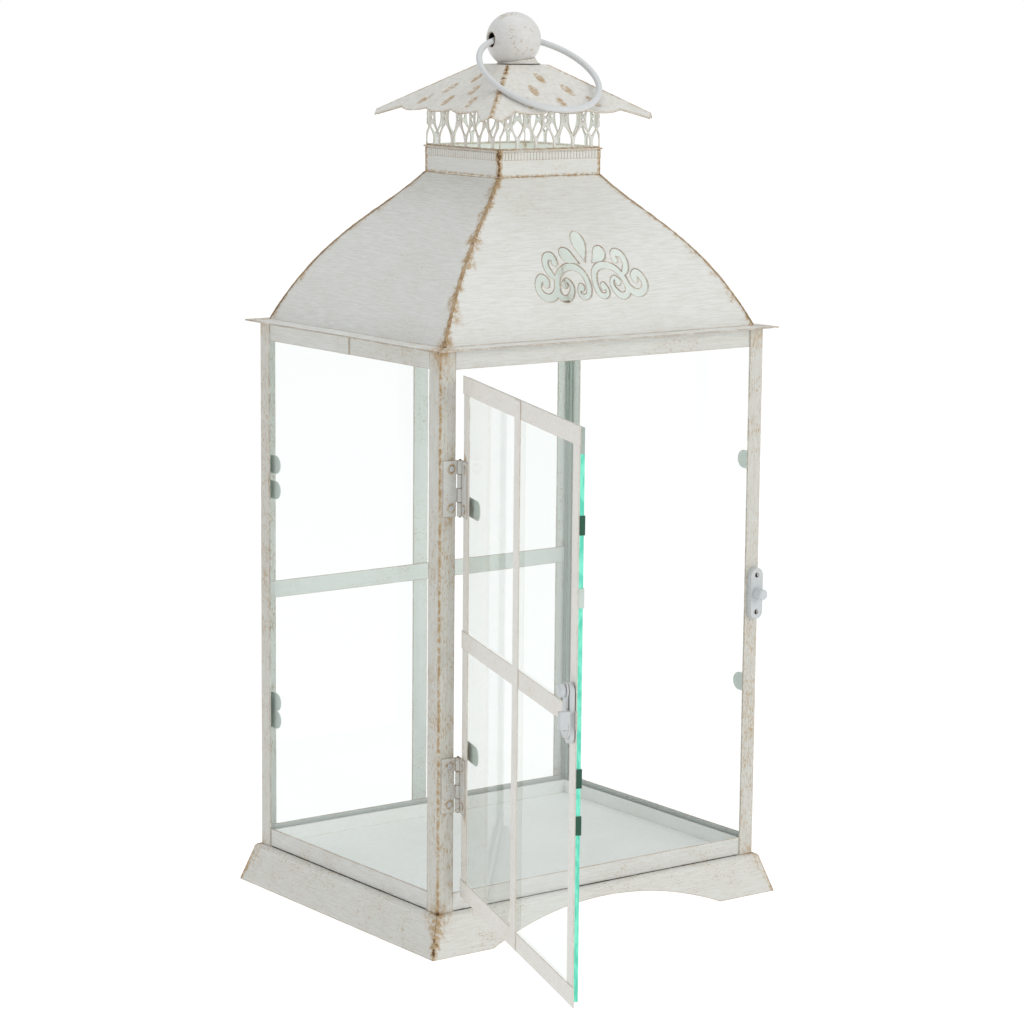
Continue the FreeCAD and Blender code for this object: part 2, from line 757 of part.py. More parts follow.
def door_hinge_stile():
    stile = door_stile(DOOR_LEFT + 0.4)
    for middle in HINGE_HEIGHTS:
        for z in rivet_heights(middle):
            stile = stile.cut(rod(DOOR_RIVET_X, z, RIVET_HOLE, STILE_FACE - 1, STILE_BACK + 1))
    return stile


def door_muntin():
    centre = (DOOR_LEFT + DOOR_RIGHT) / 2
    half = DOOR_BAR / 2
    return block(centre - half, centre + half, MUNTIN_FACE, RAIL_FACE,
                 DOOR_LOW + 0.5, DOOR_HIGH - 0.5)


def door_glass():
    pane = block(PANE_LEFT, PANE_RIGHT, PANE_FACE, PANE_BACK, DOOR_LOW + 2.0, DOOR_HIGH - 1.0)
    for middle in HINGE_HEIGHTS:
        for z in rivet_heights(middle):
            pane = pane.cut(rod(DOOR_RIVET_X, z, PANE_RIVET_HOLE, PANE_FACE - 1, PANE_BACK + 1))
    return pane


def hinge_side_clip(z):
    """A half-round tab from the hinge stile, bent round the pane's edge."""
    face = PANE_BACK + CLIP_GAP
    reach = DOOR_LEFT + HINGE_CLIP_REACH
    disc = rod(reach, z, TAB_RADIUS, face, face + CLIP_SHEET)
    edge = PANE_LEFT - CLIP_GAP
    strip = block(edge - CLIP_SHEET, reach, face, face + CLIP_SHEET,
                  z - TAB_RADIUS, z + TAB_RADIUS)
    wrap = block(edge - CLIP_SHEET, edge, STILE_BACK, face + CLIP_SHEET,
                 z - TAB_RADIUS, z + TAB_RADIUS)
    return fused([disc, strip, wrap])


def free_side_clip(z):
    """A square tab from the latch stile, bent round the pane's edge."""
    face = PANE_BACK + CLIP_GAP
    edge = PANE_RIGHT + CLIP_GAP
    half = FREE_CLIP_HALF
    strip = block(edge - FREE_CLIP_REACH, edge + CLIP_SHEET, face, face + CLIP_SHEET,
                  z - half, z + half)
    wrap = block(edge, edge + CLIP_SHEET, STILE_BACK, face + CLIP_SHEET, z - half, z + half)
    return fused([strip, wrap])


def door_glass_clips():
    clips = [hinge_side_clip(z) for z in HINGE_CLIPS]
    clips += [free_side_clip(z) for z in FREE_CLIPS]
    return group(clips)


def door_rivets():
    rivets = []
    for middle in HINGE_HEIGHTS:
        for z in rivet_heights(middle):
            rivets.append(rivet(DOOR_RIVET_X, z, DOOR_LEAF_BACK - SHEET, STILE_BACK))
    return group(rivets)


# ---- Latch --------------------------------------------------------------


def obround(x, z, half_width, half_length, y_front, y_back):
    straight = half_length - half_width
    pieces = [
        rod(x, z - straight, half_width, y_front, y_back),
        rod(x, z + straight, half_width, y_front, y_back),
        block(x - half_width, x + half_width, y_front, y_back, z - straight, z + straight),
    ]
    return fused(pieces)


def pressed_cup(x, back):
    """A shallow oblong pressing with its open side on the sheet behind it."""
    half_width = CATCH_WIDTH / 2
    half_length = CATCH_LENGTH / 2
    shell = obround(x, CATCH_HEIGHT, half_width, half_length, CATCH_FACE, back)
    hollow = obround(x, CATCH_HEIGHT, half_width - SHEET, half_length - SHEET,
                     CATCH_FACE + SHEET, back)
    return shell.cut(hollow)


def hole_through_cup(x, z, radius):
    return rod(x, z, radius, CATCH_FACE - 1.0, CATCH_FACE + 2 * SHEET)


def strike_plate():
    cup = pressed_cup(STRIKE_X, -HALF_D)
    for z in (CATCH_HEIGHT - CATCH_HOLE_SPACING, CATCH_HEIGHT + CATCH_HOLE_SPACING):
        cup = cup.cut(hole_through_cup(STRIKE_X, z, CATCH_HOLE))
    return cup.cut(hole_through_cup(STRIKE_X, CATCH_HEIGHT, SHANK_RADIUS + PIN_CLEARANCE))


def headed_stud(x, z, head_radius, head_back, head_front, tail):
    """A turned stud: a round head with an eased rim, and a shank behind it."""
    head = rod(x, z, head_radius, head_front, head_back)
    rim = [e for e in head.Edges if abs(e.CenterOfMass.y - head_front) < 1e-6]
    head = head.makeFillet(STUD_EASE, rim)
    shank = rod(x, z, SHANK_RADIUS, head_back, tail)
    return head.fuse(shank).removeSplitter()


def strike_stud():
    return headed_stud(STRIKE_X, CATCH_HEIGHT, STUD_RADIUS, CATCH_FACE,
                       CATCH_FACE - STUD_LENGTH, -HALF_D)


def latch_plate():
    cup = pressed_cup(LATCH_X, RAIL_FACE)
    low_hole = CATCH_HEIGHT - CATCH_HOLE_SPACING
    cup = cup.cut(hole_through_cup(LATCH_X, low_hole, CATCH_HOLE))
    return cup.cut(hole_through_cup(LATCH_X, PIVOT_Z, SHANK_RADIUS + PIN_CLEARANCE))


def latch_pivot():
    head_back = LEVER_FACE - FIT_GAP
    return headed_stud(LATCH_X, PIVOT_Z, PIVOT_RADIUS, head_back, head_back - PIVOT_LENGTH,
                       CATCH_FACE + PIVOT_TAIL)


def latch_lever():
    """A hooked lever, hanging from its pivot; its notch fits over the strike's stud."""
    reach = math.hypot(STRIKE_X - LATCH_X, PIVOT_Z - CATCH_HEIGHT)
    notch_z = PIVOT_Z - reach
    front = LEVER_FACE - 1
    back = LEVER_BACK + 1
    bore = rod(LATCH_X, notch_z, NOTCH_RADIUS, front, back)
    mouth = block(LATCH_X - 2 * HOOK_RADIUS, LATCH_X, front, back,
                  notch_z - NOTCH_RADIUS, notch_z + NOTCH_RADIUS)
    eye = rod(LATCH_X, PIVOT_Z, LEVER_EYE, LEVER_FACE, LEVER_BACK)
    arm = block(LATCH_X + FIT_GAP - LEVER_ARM, LATCH_X + FIT_GAP + LEVER_ARM,
                LEVER_FACE, LEVER_BACK, notch_z + NOTCH_RADIUS, PIVOT_Z)
    hook = rod(LATCH_X, notch_z, HOOK_RADIUS, LEVER_FACE, LEVER_BACK)
    plate = fused([eye, arm, hook]).cut(bore).cut(mouth)
    finger_face = LEVER_FACE - FINGER_OUT
    finger_low = notch_z - FINGER_DROP
    finger_high = finger_low + FINGER_HEIGHT
    outer_x = LATCH_X + HOOK_RADIUS - FIT_GAP
    tab = block(outer_x - LEVER_SHEET, outer_x, finger_face, LEVER_BACK, finger_low, finger_high)
    neck = block(LATCH_X + NOTCH_RADIUS / 2, outer_x, LEVER_FACE, LEVER_BACK,
                 finger_low, finger_high)
    curl = Part.makeCylinder(CURL_RADIUS, FINGER_HEIGHT,
                             vec(outer_x - CURL_RADIUS, finger_face, finger_low))
    lever = fused([plate, neck.cut(bore), tab, curl])
    eye_hole = SHANK_RADIUS + PIN_CLEARANCE
    return lever.cut(rod(LATCH_X, PIVOT_Z, eye_hole, front, back))


# ---- Assembly -----------------------------------------------------------


def opened(shape):
    """Swing a door piece from closed to where the door stands."""
    copy = shape.copy()
    copy.rotate(vec(HINGE_X, HINGE_Y, 0), Z_AXIS, -DOOR_OPEN)
    return copy


def drilled_post():
    post = corner_post(-1, -1)
    for middle in HINGE_HEIGHTS:
        for z in rivet_heights(middle):
            post = post.cut(rod(FRAME_RIVET_X, z, RIVET_HOLE, -HALF_D - 1, -HALF_D + 2 * SHEET))
    return post


def frame_nodes():
    top_rail_low = POST_TOP - RAIL_HEIGHT
    left_front, left_rear = lapped_top_rails()
    side_skirt = skirt(HALF_D, HALF_W)
    side_roof = roof_panel(HALF_D, HALF_W)
    scrolled = scrolled_roof_panel()
    gallery = gallery_side()
    nodes = {
        "base_skirt_front": front_skirt(),
        "base_skirt_back": turned(skirt(HALF_W, HALF_D), 180.0),
        "base_skirt_left": turned(side_skirt, -90.0),
        "base_skirt_right": turned(side_skirt, 90.0),
        "floor_tray": floor_tray(),
        "post_front_left": drilled_post(),
        "post_front_right": corner_post(1, -1),
        "post_back_left": corner_post(-1, 1),
        "post_back_right": corner_post(1, 1),
        "bottom_rail_front": long_rail(-1, BASE_HEIGHT),
        "bottom_rail_back": long_rail(1, BASE_HEIGHT),
        "bottom_rail_left": side_rail(-1, BASE_HEIGHT),
        "bottom_rail_right": side_rail(1, BASE_HEIGHT),
        "top_rail_front": long_rail(-1, top_rail_low),
        "top_rail_back": long_rail(1, top_rail_low),
        "top_rail_right": side_rail(1, top_rail_low),
        "top_rail_left_front_half": left_front,
        "top_rail_left_rear_half": left_rear,
        "glass_left": side_glass(-1),
        "glass_right": side_glass(1),
        "glass_back": back_glass(),
        "back_muntin_upright": back_upright(),
        "back_muntin_crossbar": back_crossbar(),
        "glass_clips": glass_clips(),
        "roof_panel_front": scrolled,
        "roof_panel_back": turned(scrolled, 180.0),
        "roof_panel_left": turned(side_roof, -90.0),
        "roof_panel_right": turned(side_roof, 90.0),
        "collar": collar(),
        "collar_reeded_band": collar_band(),
        "gallery_front": gallery,
        "gallery_right": turned(gallery, 90.0),
        "gallery_back": turned(gallery, 180.0),
        "gallery_left": turned(gallery, -90.0),
        "hat_roof": hat_roof(),
        "finial_cup": finial_cup(),
        "finial_ball": finial_ball(),
        "hinge_pins": hinge_pins(),
        "hinge_rivets_frame": frame_rivets(),
        "strike_plate": strike_plate(),
        "strike_stud": strike_stud(),
        "carry_ring": carry_ring(),
    }
    for name, middle in zip(("upper", "lower"), HINGE_HEIGHTS):
        leaf = hinge_leaf(middle, -1, FRAME_LEAF_BACK, FRAME_RIVET_X)
        nodes[name + "_hinge_frame_leaf"] = leaf
    return nodes


def door_nodes():
    middle_low = DOOR_MIDDLE - DOOR_BAR / 2
    nodes = {
        "door_glass": door_glass(),
        "door_hinge_stile": door_hinge_stile(),
        "door_latch_stile": door_stile(PANE_RIGHT - DOOR_BAR + 0.2),
        "door_bottom_rail": door_rail(DOOR_LOW),
        "door_middle_rail": door_rail(middle_low),
        "door_top_rail": door_rail(DOOR_HIGH - DOOR_BAR),
        "door_muntin": door_muntin(),
        "door_glass_clips": door_glass_clips(),
        "hinge_rivets_door": door_rivets(),
        "latch_plate": latch_plate(),
        "latch_pivot": latch_pivot(),
        "latch_lever": latch_lever(),
    }
    for name, middle in zip(("upper", "lower"), HINGE_HEIGHTS):
        leaf = hinge_leaf(middle, 1, DOOR_LEAF_BACK, DOOR_RIVET_X)
        nodes[name + "_hinge_door_leaf"] = leaf
    return {name: opened(shape) for name, shape in nodes.items()}


os.makedirs("parts", exist_ok=True)
all_nodes = frame_nodes()
all_nodes.update(door_nodes())
for node_name, node_shape in all_nodes.items():
    node_shape.exportStep("parts/" + node_name + ".step")
    print(node_name, node_shape.isValid(), len(node_shape.Solids), round(node_shape.Volume, 1))
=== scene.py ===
import json
import math
import random

import bmesh
import bpy
import numpy as np
from mathutils import Matrix, Vector, noise


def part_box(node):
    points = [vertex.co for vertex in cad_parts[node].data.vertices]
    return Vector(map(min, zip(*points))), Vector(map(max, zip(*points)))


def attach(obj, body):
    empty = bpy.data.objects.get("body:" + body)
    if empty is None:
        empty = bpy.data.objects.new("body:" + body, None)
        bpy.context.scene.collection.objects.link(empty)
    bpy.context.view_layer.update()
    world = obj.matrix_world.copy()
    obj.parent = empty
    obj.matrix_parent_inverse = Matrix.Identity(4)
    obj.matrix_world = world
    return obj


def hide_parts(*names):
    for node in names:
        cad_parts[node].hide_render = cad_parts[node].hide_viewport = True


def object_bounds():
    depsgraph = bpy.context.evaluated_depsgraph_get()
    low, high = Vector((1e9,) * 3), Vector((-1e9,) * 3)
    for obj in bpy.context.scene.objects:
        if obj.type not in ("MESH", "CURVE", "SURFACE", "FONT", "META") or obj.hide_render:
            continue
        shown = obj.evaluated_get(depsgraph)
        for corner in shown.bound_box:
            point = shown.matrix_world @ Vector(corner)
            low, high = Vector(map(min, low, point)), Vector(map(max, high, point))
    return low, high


# Looks for the painted candle lantern.  Metres, the frame of the CAD model.
# The door is on the front, -Y, and stands open on its left-hand hinges.

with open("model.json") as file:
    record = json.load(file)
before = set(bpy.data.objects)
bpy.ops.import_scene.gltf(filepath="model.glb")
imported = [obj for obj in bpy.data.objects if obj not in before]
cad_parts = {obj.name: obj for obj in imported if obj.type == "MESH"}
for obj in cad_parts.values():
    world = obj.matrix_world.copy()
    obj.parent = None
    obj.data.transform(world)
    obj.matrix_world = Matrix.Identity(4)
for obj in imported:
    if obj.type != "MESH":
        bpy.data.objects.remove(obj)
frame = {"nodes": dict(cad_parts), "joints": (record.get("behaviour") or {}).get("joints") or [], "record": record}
cad_low, cad_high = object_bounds()
MM = 0.001
UP = Vector((0, 0, 1))
JOINTS = {joint["name"]: joint for joint in frame["joints"]}
DOOR_TURN = -math.radians(JOINTS["door_hinge"]["range_deg"][1])
DOOR_OUTWARD = Matrix.Rotation(DOOR_TURN, 3, "Z") @ Vector((0, -1, 0))
DOOR_WIDTHWAYS = Matrix.Rotation(DOOR_TURN, 3, "Z") @ Vector((1, 0, 0))
FRAME_OUTWARD = Vector((0, -1, 0))

# ---- Camera, light and floor ----------------------------------------------

CAMERA_PLACE = Vector((-1.0779, -1.4635, 0.5194))
CAMERA_HEADING = math.radians(36.423)
CAMERA_PITCH = math.radians(-9.391)
CAMERA_ROLL = math.radians(0.538)
CAMERA_LENS = 113.89
SENSOR_WIDTH = 36.0
FAR_CLIP = 30.0
WARM_WHITE = (1.0, 0.985, 0.95)
COOL_WHITE = (0.96, 0.98, 1.0)
FULL_WHITE = (1.0, 1.0, 1.0, 1.0)
LAMP_TARGET = (0.0, 0.0, 0.25)
LAMPS = (("key_light", (0.7, -2.6, 1.4), 1.4, 17.0, WARM_WHITE),
         ("top_light", (0.1, 0.2, 2.4), 2.0, 11.0, COOL_WHITE))
BOUNCE_PLACE = (0.0, 0.0, 0.375)
BOUNCE_SIZE = 0.03
BOUNCE_WATTS = 0.05
ROOM_COLOUR = (0.97, 0.985, 1.0, 1.0)
ROOM_STRENGTH = 0.66
FLOOR_COLOUR = (0.30, 0.30, 0.30, 1.0)
FLOOR_GLOW = 0.84
FLOOR_SIZE = 12.0
FLOOR_DROP = 0.3 * MM


def add_camera():
    data = bpy.data.cameras.new("camera")
    data.lens = CAMERA_LENS
    data.sensor_width = SENSOR_WIDTH
    data.clip_end = FAR_CLIP
    camera = bpy.data.objects.new("camera", data)
    heading = Matrix.Rotation(-CAMERA_HEADING, 4, "Z")
    tilt = Matrix.Rotation(math.pi / 2 + CAMERA_PITCH, 4, "X")
    roll = Matrix.Rotation(CAMERA_ROLL, 4, "Z")
    camera.matrix_world = Matrix.Translation(CAMERA_PLACE) @ heading @ tilt @ roll
    bpy.context.scene.collection.objects.link(camera)
    bpy.context.scene.camera = camera


def add_area_light(name, place, size, watts, colour):
    data = bpy.data.lights.new(name, "AREA")
    data.shape = "DISK"
    data.size = size
    data.energy = watts
    data.color = colour
    light = bpy.data.objects.new(name, data)
    aim = (Vector(LAMP_TARGET) - Vector(place)).to_track_quat("-Z", "Y")
    light.matrix_world = Matrix.Translation(place) @ aim.to_matrix().to_4x4()
    bpy.context.scene.collection.objects.link(light)


def add_bounce_light():
    """The little light that white walls throw up under the roof."""
    data = bpy.data.lights.new("bounce_light", "POINT")
    data.energy = BOUNCE_WATTS
    data.shadow_soft_size = BOUNCE_SIZE
    data.color = WARM_WHITE
    light = bpy.data.objects.new("bounce_light", data)
    light.location = BOUNCE_PLACE
    bpy.context.scene.collection.objects.link(light)


def add_studio():
    """A white backdrop, a dimmer white room, two soft lamps and the bounce light."""
    world = bpy.data.worlds.new("studio")
    world.use_nodes = True
    tree = world.node_tree
    room = tree.nodes["Background"]
    room.inputs["Color"].default_value = ROOM_COLOUR
    room.inputs["Strength"].default_value = ROOM_STRENGTH
    backdrop = tree.nodes.new("ShaderNodeBackground")
    backdrop.inputs["Color"].default_value = FULL_WHITE
    backdrop.inputs["Strength"].default_value = 1.0
    path = tree.nodes.new("ShaderNodeLightPath")
    choice = tree.nodes.new("ShaderNodeMixShader")
    tree.links.new(path.outputs["Is Camera Ray"], choice.inputs[0])
    tree.links.new(room.outputs[0], choice.inputs[1])
    tree.links.new(backdrop.outputs[0], choice.inputs[2])
    tree.links.new(choice.outputs[0], tree.nodes["World Output"].inputs["Surface"])
    bpy.context.scene.world = world
    bpy.context.scene.view_settings.view_transform = "Standard"
    for lamp in LAMPS:
        add_area_light(*lamp)
    add_bounce_light()


def add_floor():
    """A wide pale sheet that glows a little, like a light table."""
    mesh = bpy.data.meshes.new("floor")
    shape = bmesh.new()
    bmesh.ops.create_grid(shape, x_segments=8, y_segments=8, size=FLOOR_SIZE)
    shape.to_mesh(mesh)
    shape.free()
    floor = bpy.data.objects.new("floor", mesh)
    floor.location.z = -FLOOR_DROP
    bpy.context.scene.collection.objects.link(floor)
    material = bpy.data.materials.new("floor_paper")
    material.use_nodes = True
    shader = material.node_tree.nodes["Principled BSDF"]
    shader.inputs["Base Color"].default_value = FLOOR_COLOUR
    shader.inputs["Roughness"].default_value = 0.9
    shader.inputs["Specular IOR Level"].default_value = 0.0
    shader.inputs["Emission Color"].default_value = FULL_WHITE
    shader.inputs["Emission Strength"].default_value = FLOOR_GLOW
    mesh.materials.append(material)


# ---- Materials ------------------------------------------------------------

TAN = (0.47, 0.335, 0.19, 1.0)
DARK_BROWN = (0.13, 0.066, 0.028, 1.0)
# Painted shading: the grey-green that faces turned towards the lantern's middle take, for the light and shade
# within it seen through green glass, and how far they take it.
INWARD_PAINTED_SHADING = (0.80, 0.845, 0.81, 1.0)
INWARD_SHADING_SHARE = 0.85
DULL_SHARE = (0.875, 0.86, 0.825)
BLOTCH_SCALE = 17.0
SCRATCH_SCALE = 48.0
CLOUD_SCALE = 85.0
CRUMB_SCALE = 420.0
FINE_SCALE = 1100.0
DASH_SPAN = 0.11
WORN_ROUGHNESS = 0.72
BUMP_DEPTH = 0.25 * MM
GRAIN_ALONG = {"level": (95.0, 95.0, 1500.0), "upright": (1300.0, 1300.0, 75.0),
               "plain": (320.0, 320.0, 420.0)}
DASH_ALONG = {"level": (560.0, 560.0, 2900.0), "upright": (2700.0, 2700.0, 400.0),
              "plain": (1100.0, 1100.0, 1300.0)}


class Graph:
    """Adds nodes to one material and joins them up."""

    def __init__(self, name):
        self.material = bpy.data.materials.new(name)
        self.material.use_nodes = True
        self.tree = self.material.node_tree
        self.shader = self.tree.nodes["Principled BSDF"]
        self.output = self.tree.nodes["Material Output"]

    def add(self, kind, **settings):
        node = self.tree.nodes.new(kind)
        for key, value in settings.items():
            setattr(node, key, value)
        return node

    def feed(self, socket, value):
        if isinstance(value, bpy.types.NodeSocket):
            self.tree.links.new(value, socket)
        else:
            socket.default_value = value

    def math(self, operation, first, second=0.0, clamp=False):
        node = self.add("ShaderNodeMath", operation=operation, use_clamp=clamp)
        self.feed(node.inputs[0], first)
        self.feed(node.inputs[1], second)
        return node.outputs[0]

    def stretched(self, vector, scale):
        node = self.add("ShaderNodeMapping")
        self.feed(node.inputs["Vector"], vector)
        node.inputs["Scale"].default_value = scale
        return node.outputs[0]

    def noise(self, vector, scale, detail=3.0, roughness=0.55):
        node = self.add("ShaderNodeTexNoise")
        self.feed(node.inputs["Vector"], vector)
        node.inputs["Scale"].default_value = scale
        node.inputs["Detail"].default_value = detail
        node.inputs["Roughness"].default_value = roughness
        return node.outputs["Fac"]

    def between(self, value, low, high, to_low=0.0, to_high=1.0):
        node = self.add("ShaderNodeMapRange", interpolation_type="SMOOTHSTEP")
        self.feed(node.inputs["Value"], value)
        node.inputs["From Min"].default_value = low
        node.inputs["From Max"].default_value = high
        node.inputs["To Min"].default_value = to_low
        node.inputs["To Max"].default_value = to_high
        return node.outputs["Result"]

    def mixed(self, factor, first, second, how="MIX"):
        node = self.add("ShaderNodeMix", data_type="RGBA", blend_type=how)
        self.feed(node.inputs["Factor"], factor)
        self.feed(node.inputs[6], first)
        self.feed(node.inputs[7], second)
        return node.outputs[2]

    def dot(self, first, second):
        node = self.add("ShaderNodeVectorMath", operation="DOT_PRODUCT")
        self.feed(node.inputs[0], first)
        self.feed(node.inputs[1], second)
        return node.outputs["Value"]

    def edge_wear(self, radius):
        """1 along the corners of the shape, 0 on its flats."""
        bevel = self.add("ShaderNodeBevel", samples=6)
        bevel.inputs["Radius"].default_value = radius
        facing = self.add("ShaderNodeNewGeometry")
        alike = self.dot(bevel.outputs[0], facing.outputs["Normal"])
        return self.between(alike, 0.995, 0.80)


def painted(name, look):
    """Brushed off-white paint with tan wear on its edges and where the grime gathers, and, where the look asks,
    painted shading on faces turned towards the lantern's middle.
    """
    g = Graph(name)
    place = g.add("ShaderNodeTexCoord")
    coords = place.outputs["Object"]
    streak = g.noise(g.stretched(coords, GRAIN_ALONG[look["grain"]]), 1.0, 5.0, 0.7)
    blotch = g.noise(coords, BLOTCH_SCALE, 3.0)
    cloud = g.noise(coords, CLOUD_SCALE, 4.0, 0.65)
    dash_noise = g.noise(g.stretched(coords, DASH_ALONG[look["grain"]]), 1.0, 3.0, 0.6)
    density = g.math("MULTIPLY", g.math("ADD", blotch, cloud), 0.30)
    dashes = g.between(g.math("ADD", dash_noise, density), look["dash_start"],
                       look["dash_start"] + DASH_SPAN)
    fine = g.noise(coords, FINE_SCALE, 2.0)

    edge = g.edge_wear(look["edge_radius"])
    chips = g.between(g.math("ADD", cloud, g.math("MULTIPLY", fine, 0.35)), 0.42, 0.78)
    worn_edge = g.math("MULTIPLY", edge, g.math("ADD", chips, look["edge_floor"]), clamp=True)
    worn_edge = g.math("MULTIPLY", worn_edge, look["edge_wear"])
    attribute = g.add("ShaderNodeAttribute", attribute_name="grime")
    crumbs = g.noise(coords, CRUMB_SCALE, 3.0)
    spotty = g.between(g.math("ADD", crumbs, g.math("MULTIPLY", fine, 0.5)), 0.55, 0.92)
    grime = g.math("MULTIPLY", attribute.outputs["Fac"], g.math("ADD", spotty, 0.35))
    wear = g.math("MAXIMUM", worn_edge, g.math("MULTIPLY", dashes, look["dash_depth"]))
    if look.get("scratches"):
        swirl = g.noise(coords, SCRATCH_SCALE, 5.0, 0.65)
        contour = g.math("ABSOLUTE", g.math("SUBTRACT", swirl, 0.5))
        line = g.between(contour, 0.009, 0.002, 0.0, look["scratches"])
        patchy = g.between(cloud, 0.47, 0.62)
        wear = g.math("MAXIMUM", wear, g.math("MULTIPLY", line, patchy))
    wear = g.math("MAXIMUM", wear, grime, clamp=True)

    light = tuple(look["colour"]) + (1.0,)
    dull = tuple(c * s for c, s in zip(look["colour"], DULL_SHARE)) + (1.0,)
    paint = g.mixed(g.between(streak, 0.36, 0.66, 0.0, look["streak"]), light, dull)
    paint = g.mixed(g.between(blotch, 0.35, 0.75, 0.0, 0.35), paint, dull)
    # Painted shading: faces turned towards the lantern's middle are mixed towards one fixed grey-green, standing
    # in for the light and shade within the lantern.
    if look["inside"]:
        flat = g.add("ShaderNodeVectorMath", operation="MULTIPLY")
        g.feed(flat.inputs[0], coords)
        flat.inputs[1].default_value = (1.0, 1.0, 0.0)
        inward = g.dot(flat.outputs[0], place.outputs["Normal"])
        shade = g.between(inward, -0.008, -0.022)
        paint = g.mixed(g.math("MULTIPLY", shade, INWARD_SHADING_SHARE), paint, INWARD_PAINTED_SHADING)
    colour = g.mixed(g.between(wear, 0.05, 0.62), paint, TAN)
    colour = g.mixed(g.between(wear, 0.60, 1.05), colour, DARK_BROWN)
    g.feed(g.shader.inputs["Base Color"], colour)
    rough = g.between(wear, 0.0, 0.8, look["roughness"], WORN_ROUGHNESS)
    rough = g.math("ADD", rough, g.math("MULTIPLY", streak, 0.10))
    g.feed(g.shader.inputs["Roughness"], rough)
    g.shader.inputs["Specular IOR Level"].default_value = 0.4

    height = g.math("MULTIPLY", streak, look["streak"] * 1.2)
    height = g.math("ADD", height, g.math("MULTIPLY", fine, 0.25))
    height = g.math("SUBTRACT", height, g.math("MULTIPLY", wear, 0.9))
    bump = g.add("ShaderNodeBump")
    bump.inputs["Strength"].default_value = look["bump"]
    bump.inputs["Distance"].default_value = BUMP_DEPTH
    g.feed(bump.inputs["Height"], height)
    g.feed(g.shader.inputs["Normal"], bump.outputs[0])
    return g.material


PAINT = {
    "colour": (0.80, 0.80, 0.765), "grain": "level", "streak": 1.0, "dash_start": 0.95,
    "dash_depth": 0.5, "edge_radius": 1.0 * MM, "edge_floor": 0.25, "edge_wear": 0.8,
    "roughness": 0.42, "bump": 0.35, "inside": True,
}
PAINT_LOOKS = {
    "base_paint": {"colour": (0.735, 0.735, 0.70), "dash_start": 0.885, "dash_depth": 0.5},
    "tray_paint": {"grain": "plain", "colour": (0.93, 0.95, 0.935), "streak": 0.3,
                   "dash_start": 1.05, "edge_wear": 0.3, "inside": False},
    "post_paint": {"grain": "upright", "colour": (0.66, 0.66, 0.62), "dash_start": 0.85,
                   "dash_depth": 0.6, "edge_wear": 1.0},
    "rail_paint": {"colour": (0.70, 0.705, 0.68), "dash_start": 0.91},
    "roof_paint": {"edge_radius": 1.5 * MM, "colour": (0.775, 0.78, 0.755), "dash_start": 0.93,
                   "edge_wear": 0.95, "dash_depth": 0.4},
    "seam_paint": {"grain": "plain", "colour": (0.50, 0.40, 0.28), "edge_floor": 0.6,
                   "edge_wear": 1.0, "dash_start": 0.86, "dash_depth": 0.9, "inside": False},
    "neck_paint": {"edge_radius": 0.7 * MM, "colour": (0.74, 0.745, 0.715), "dash_start": 0.91,
                   "streak": 0.6},
    "hat_paint": {"grain": "plain", "edge_radius": 0.9 * MM, "dash_start": 0.92,
                  "colour": (0.76, 0.75, 0.71), "inside": False},
    "ball_paint": {"grain": "plain", "colour": (0.74, 0.735, 0.72), "streak": 0.5,
                   "dash_start": 0.97, "dash_depth": 0.5, "roughness": 0.24, "bump": 0.25,
                   "scratches": 0.6, "inside": False},
    "ring_paint": {"grain": "plain", "colour": (0.66, 0.675, 0.68), "streak": 0.15,
                   "dash_start": 1.3, "edge_wear": 0.0, "roughness": 0.3, "bump": 0.08,
                   "inside": False},
    "door_paint": {"grain": "plain", "colour": (0.82, 0.80, 0.755), "streak": 0.5,
                   "dash_start": 0.93, "edge_wear": 0.8, "edge_radius": 0.6 * MM,
                   "inside": False},
    "leaf_paint": {"grain": "plain", "colour": (0.68, 0.68, 0.655), "streak": 0.6,
                   "dash_start": 0.88, "dash_depth": 0.7, "edge_radius": 0.6 * MM,
                   "edge_wear": 1.0, "edge_floor": 0.4, "inside": False},
    "stained_metal": {"grain": "plain", "colour": (0.20, 0.12, 0.06), "streak": 0.3,
                      "dash_start": 0.9, "edge_wear": 0.5, "inside": False},
    "hardware_paint": {"grain": "plain", "colour": (0.60, 0.63, 0.645), "streak": 0.35,
                       "dash_start": 1.0, "edge_radius": 0.45 * MM, "edge_wear": 0.9,
                       "roughness": 0.34, "inside": False},
    "clip_metal": {"grain": "plain", "colour": (0.60, 0.68, 0.64), "streak": 0.3,
                   "dash_start": 1.05, "edge_radius": 0.4 * MM, "edge_wear": 0.2,
                   "inside": False},
}


def glass_sheet(name, tint):
    """Clear window glass seen through its faces."""
    g = Graph(name)
    g.tree.nodes.remove(g.shader)
    clear = g.add("ShaderNodeBsdfTransparent")
    clear.inputs["Color"].default_value = tint
    gloss = g.add("ShaderNodeBsdfGlossy")
    gloss.inputs["Roughness"].default_value = 0.02
    gloss.inputs["Color"].default_value = FULL_WHITE
    bounce = g.add("ShaderNodeFresnel")
    bounce.inputs["IOR"].default_value = 1.45
    side = g.add("ShaderNodeNewGeometry")
    front = g.math("SUBTRACT", 1.0, side.outputs["Backfacing"])
    mix = g.add("ShaderNodeMixShader")
    g.feed(mix.inputs[0], g.math("MULTIPLY", g.math("MULTIPLY", bounce.outputs[0], front), 0.8))
    g.feed(mix.inputs[1], clear.outputs[0])
    g.feed(mix.inputs[2], gloss.outputs[0])
    g.feed(g.output.inputs["Surface"], mix.outputs[0])
    return g.material


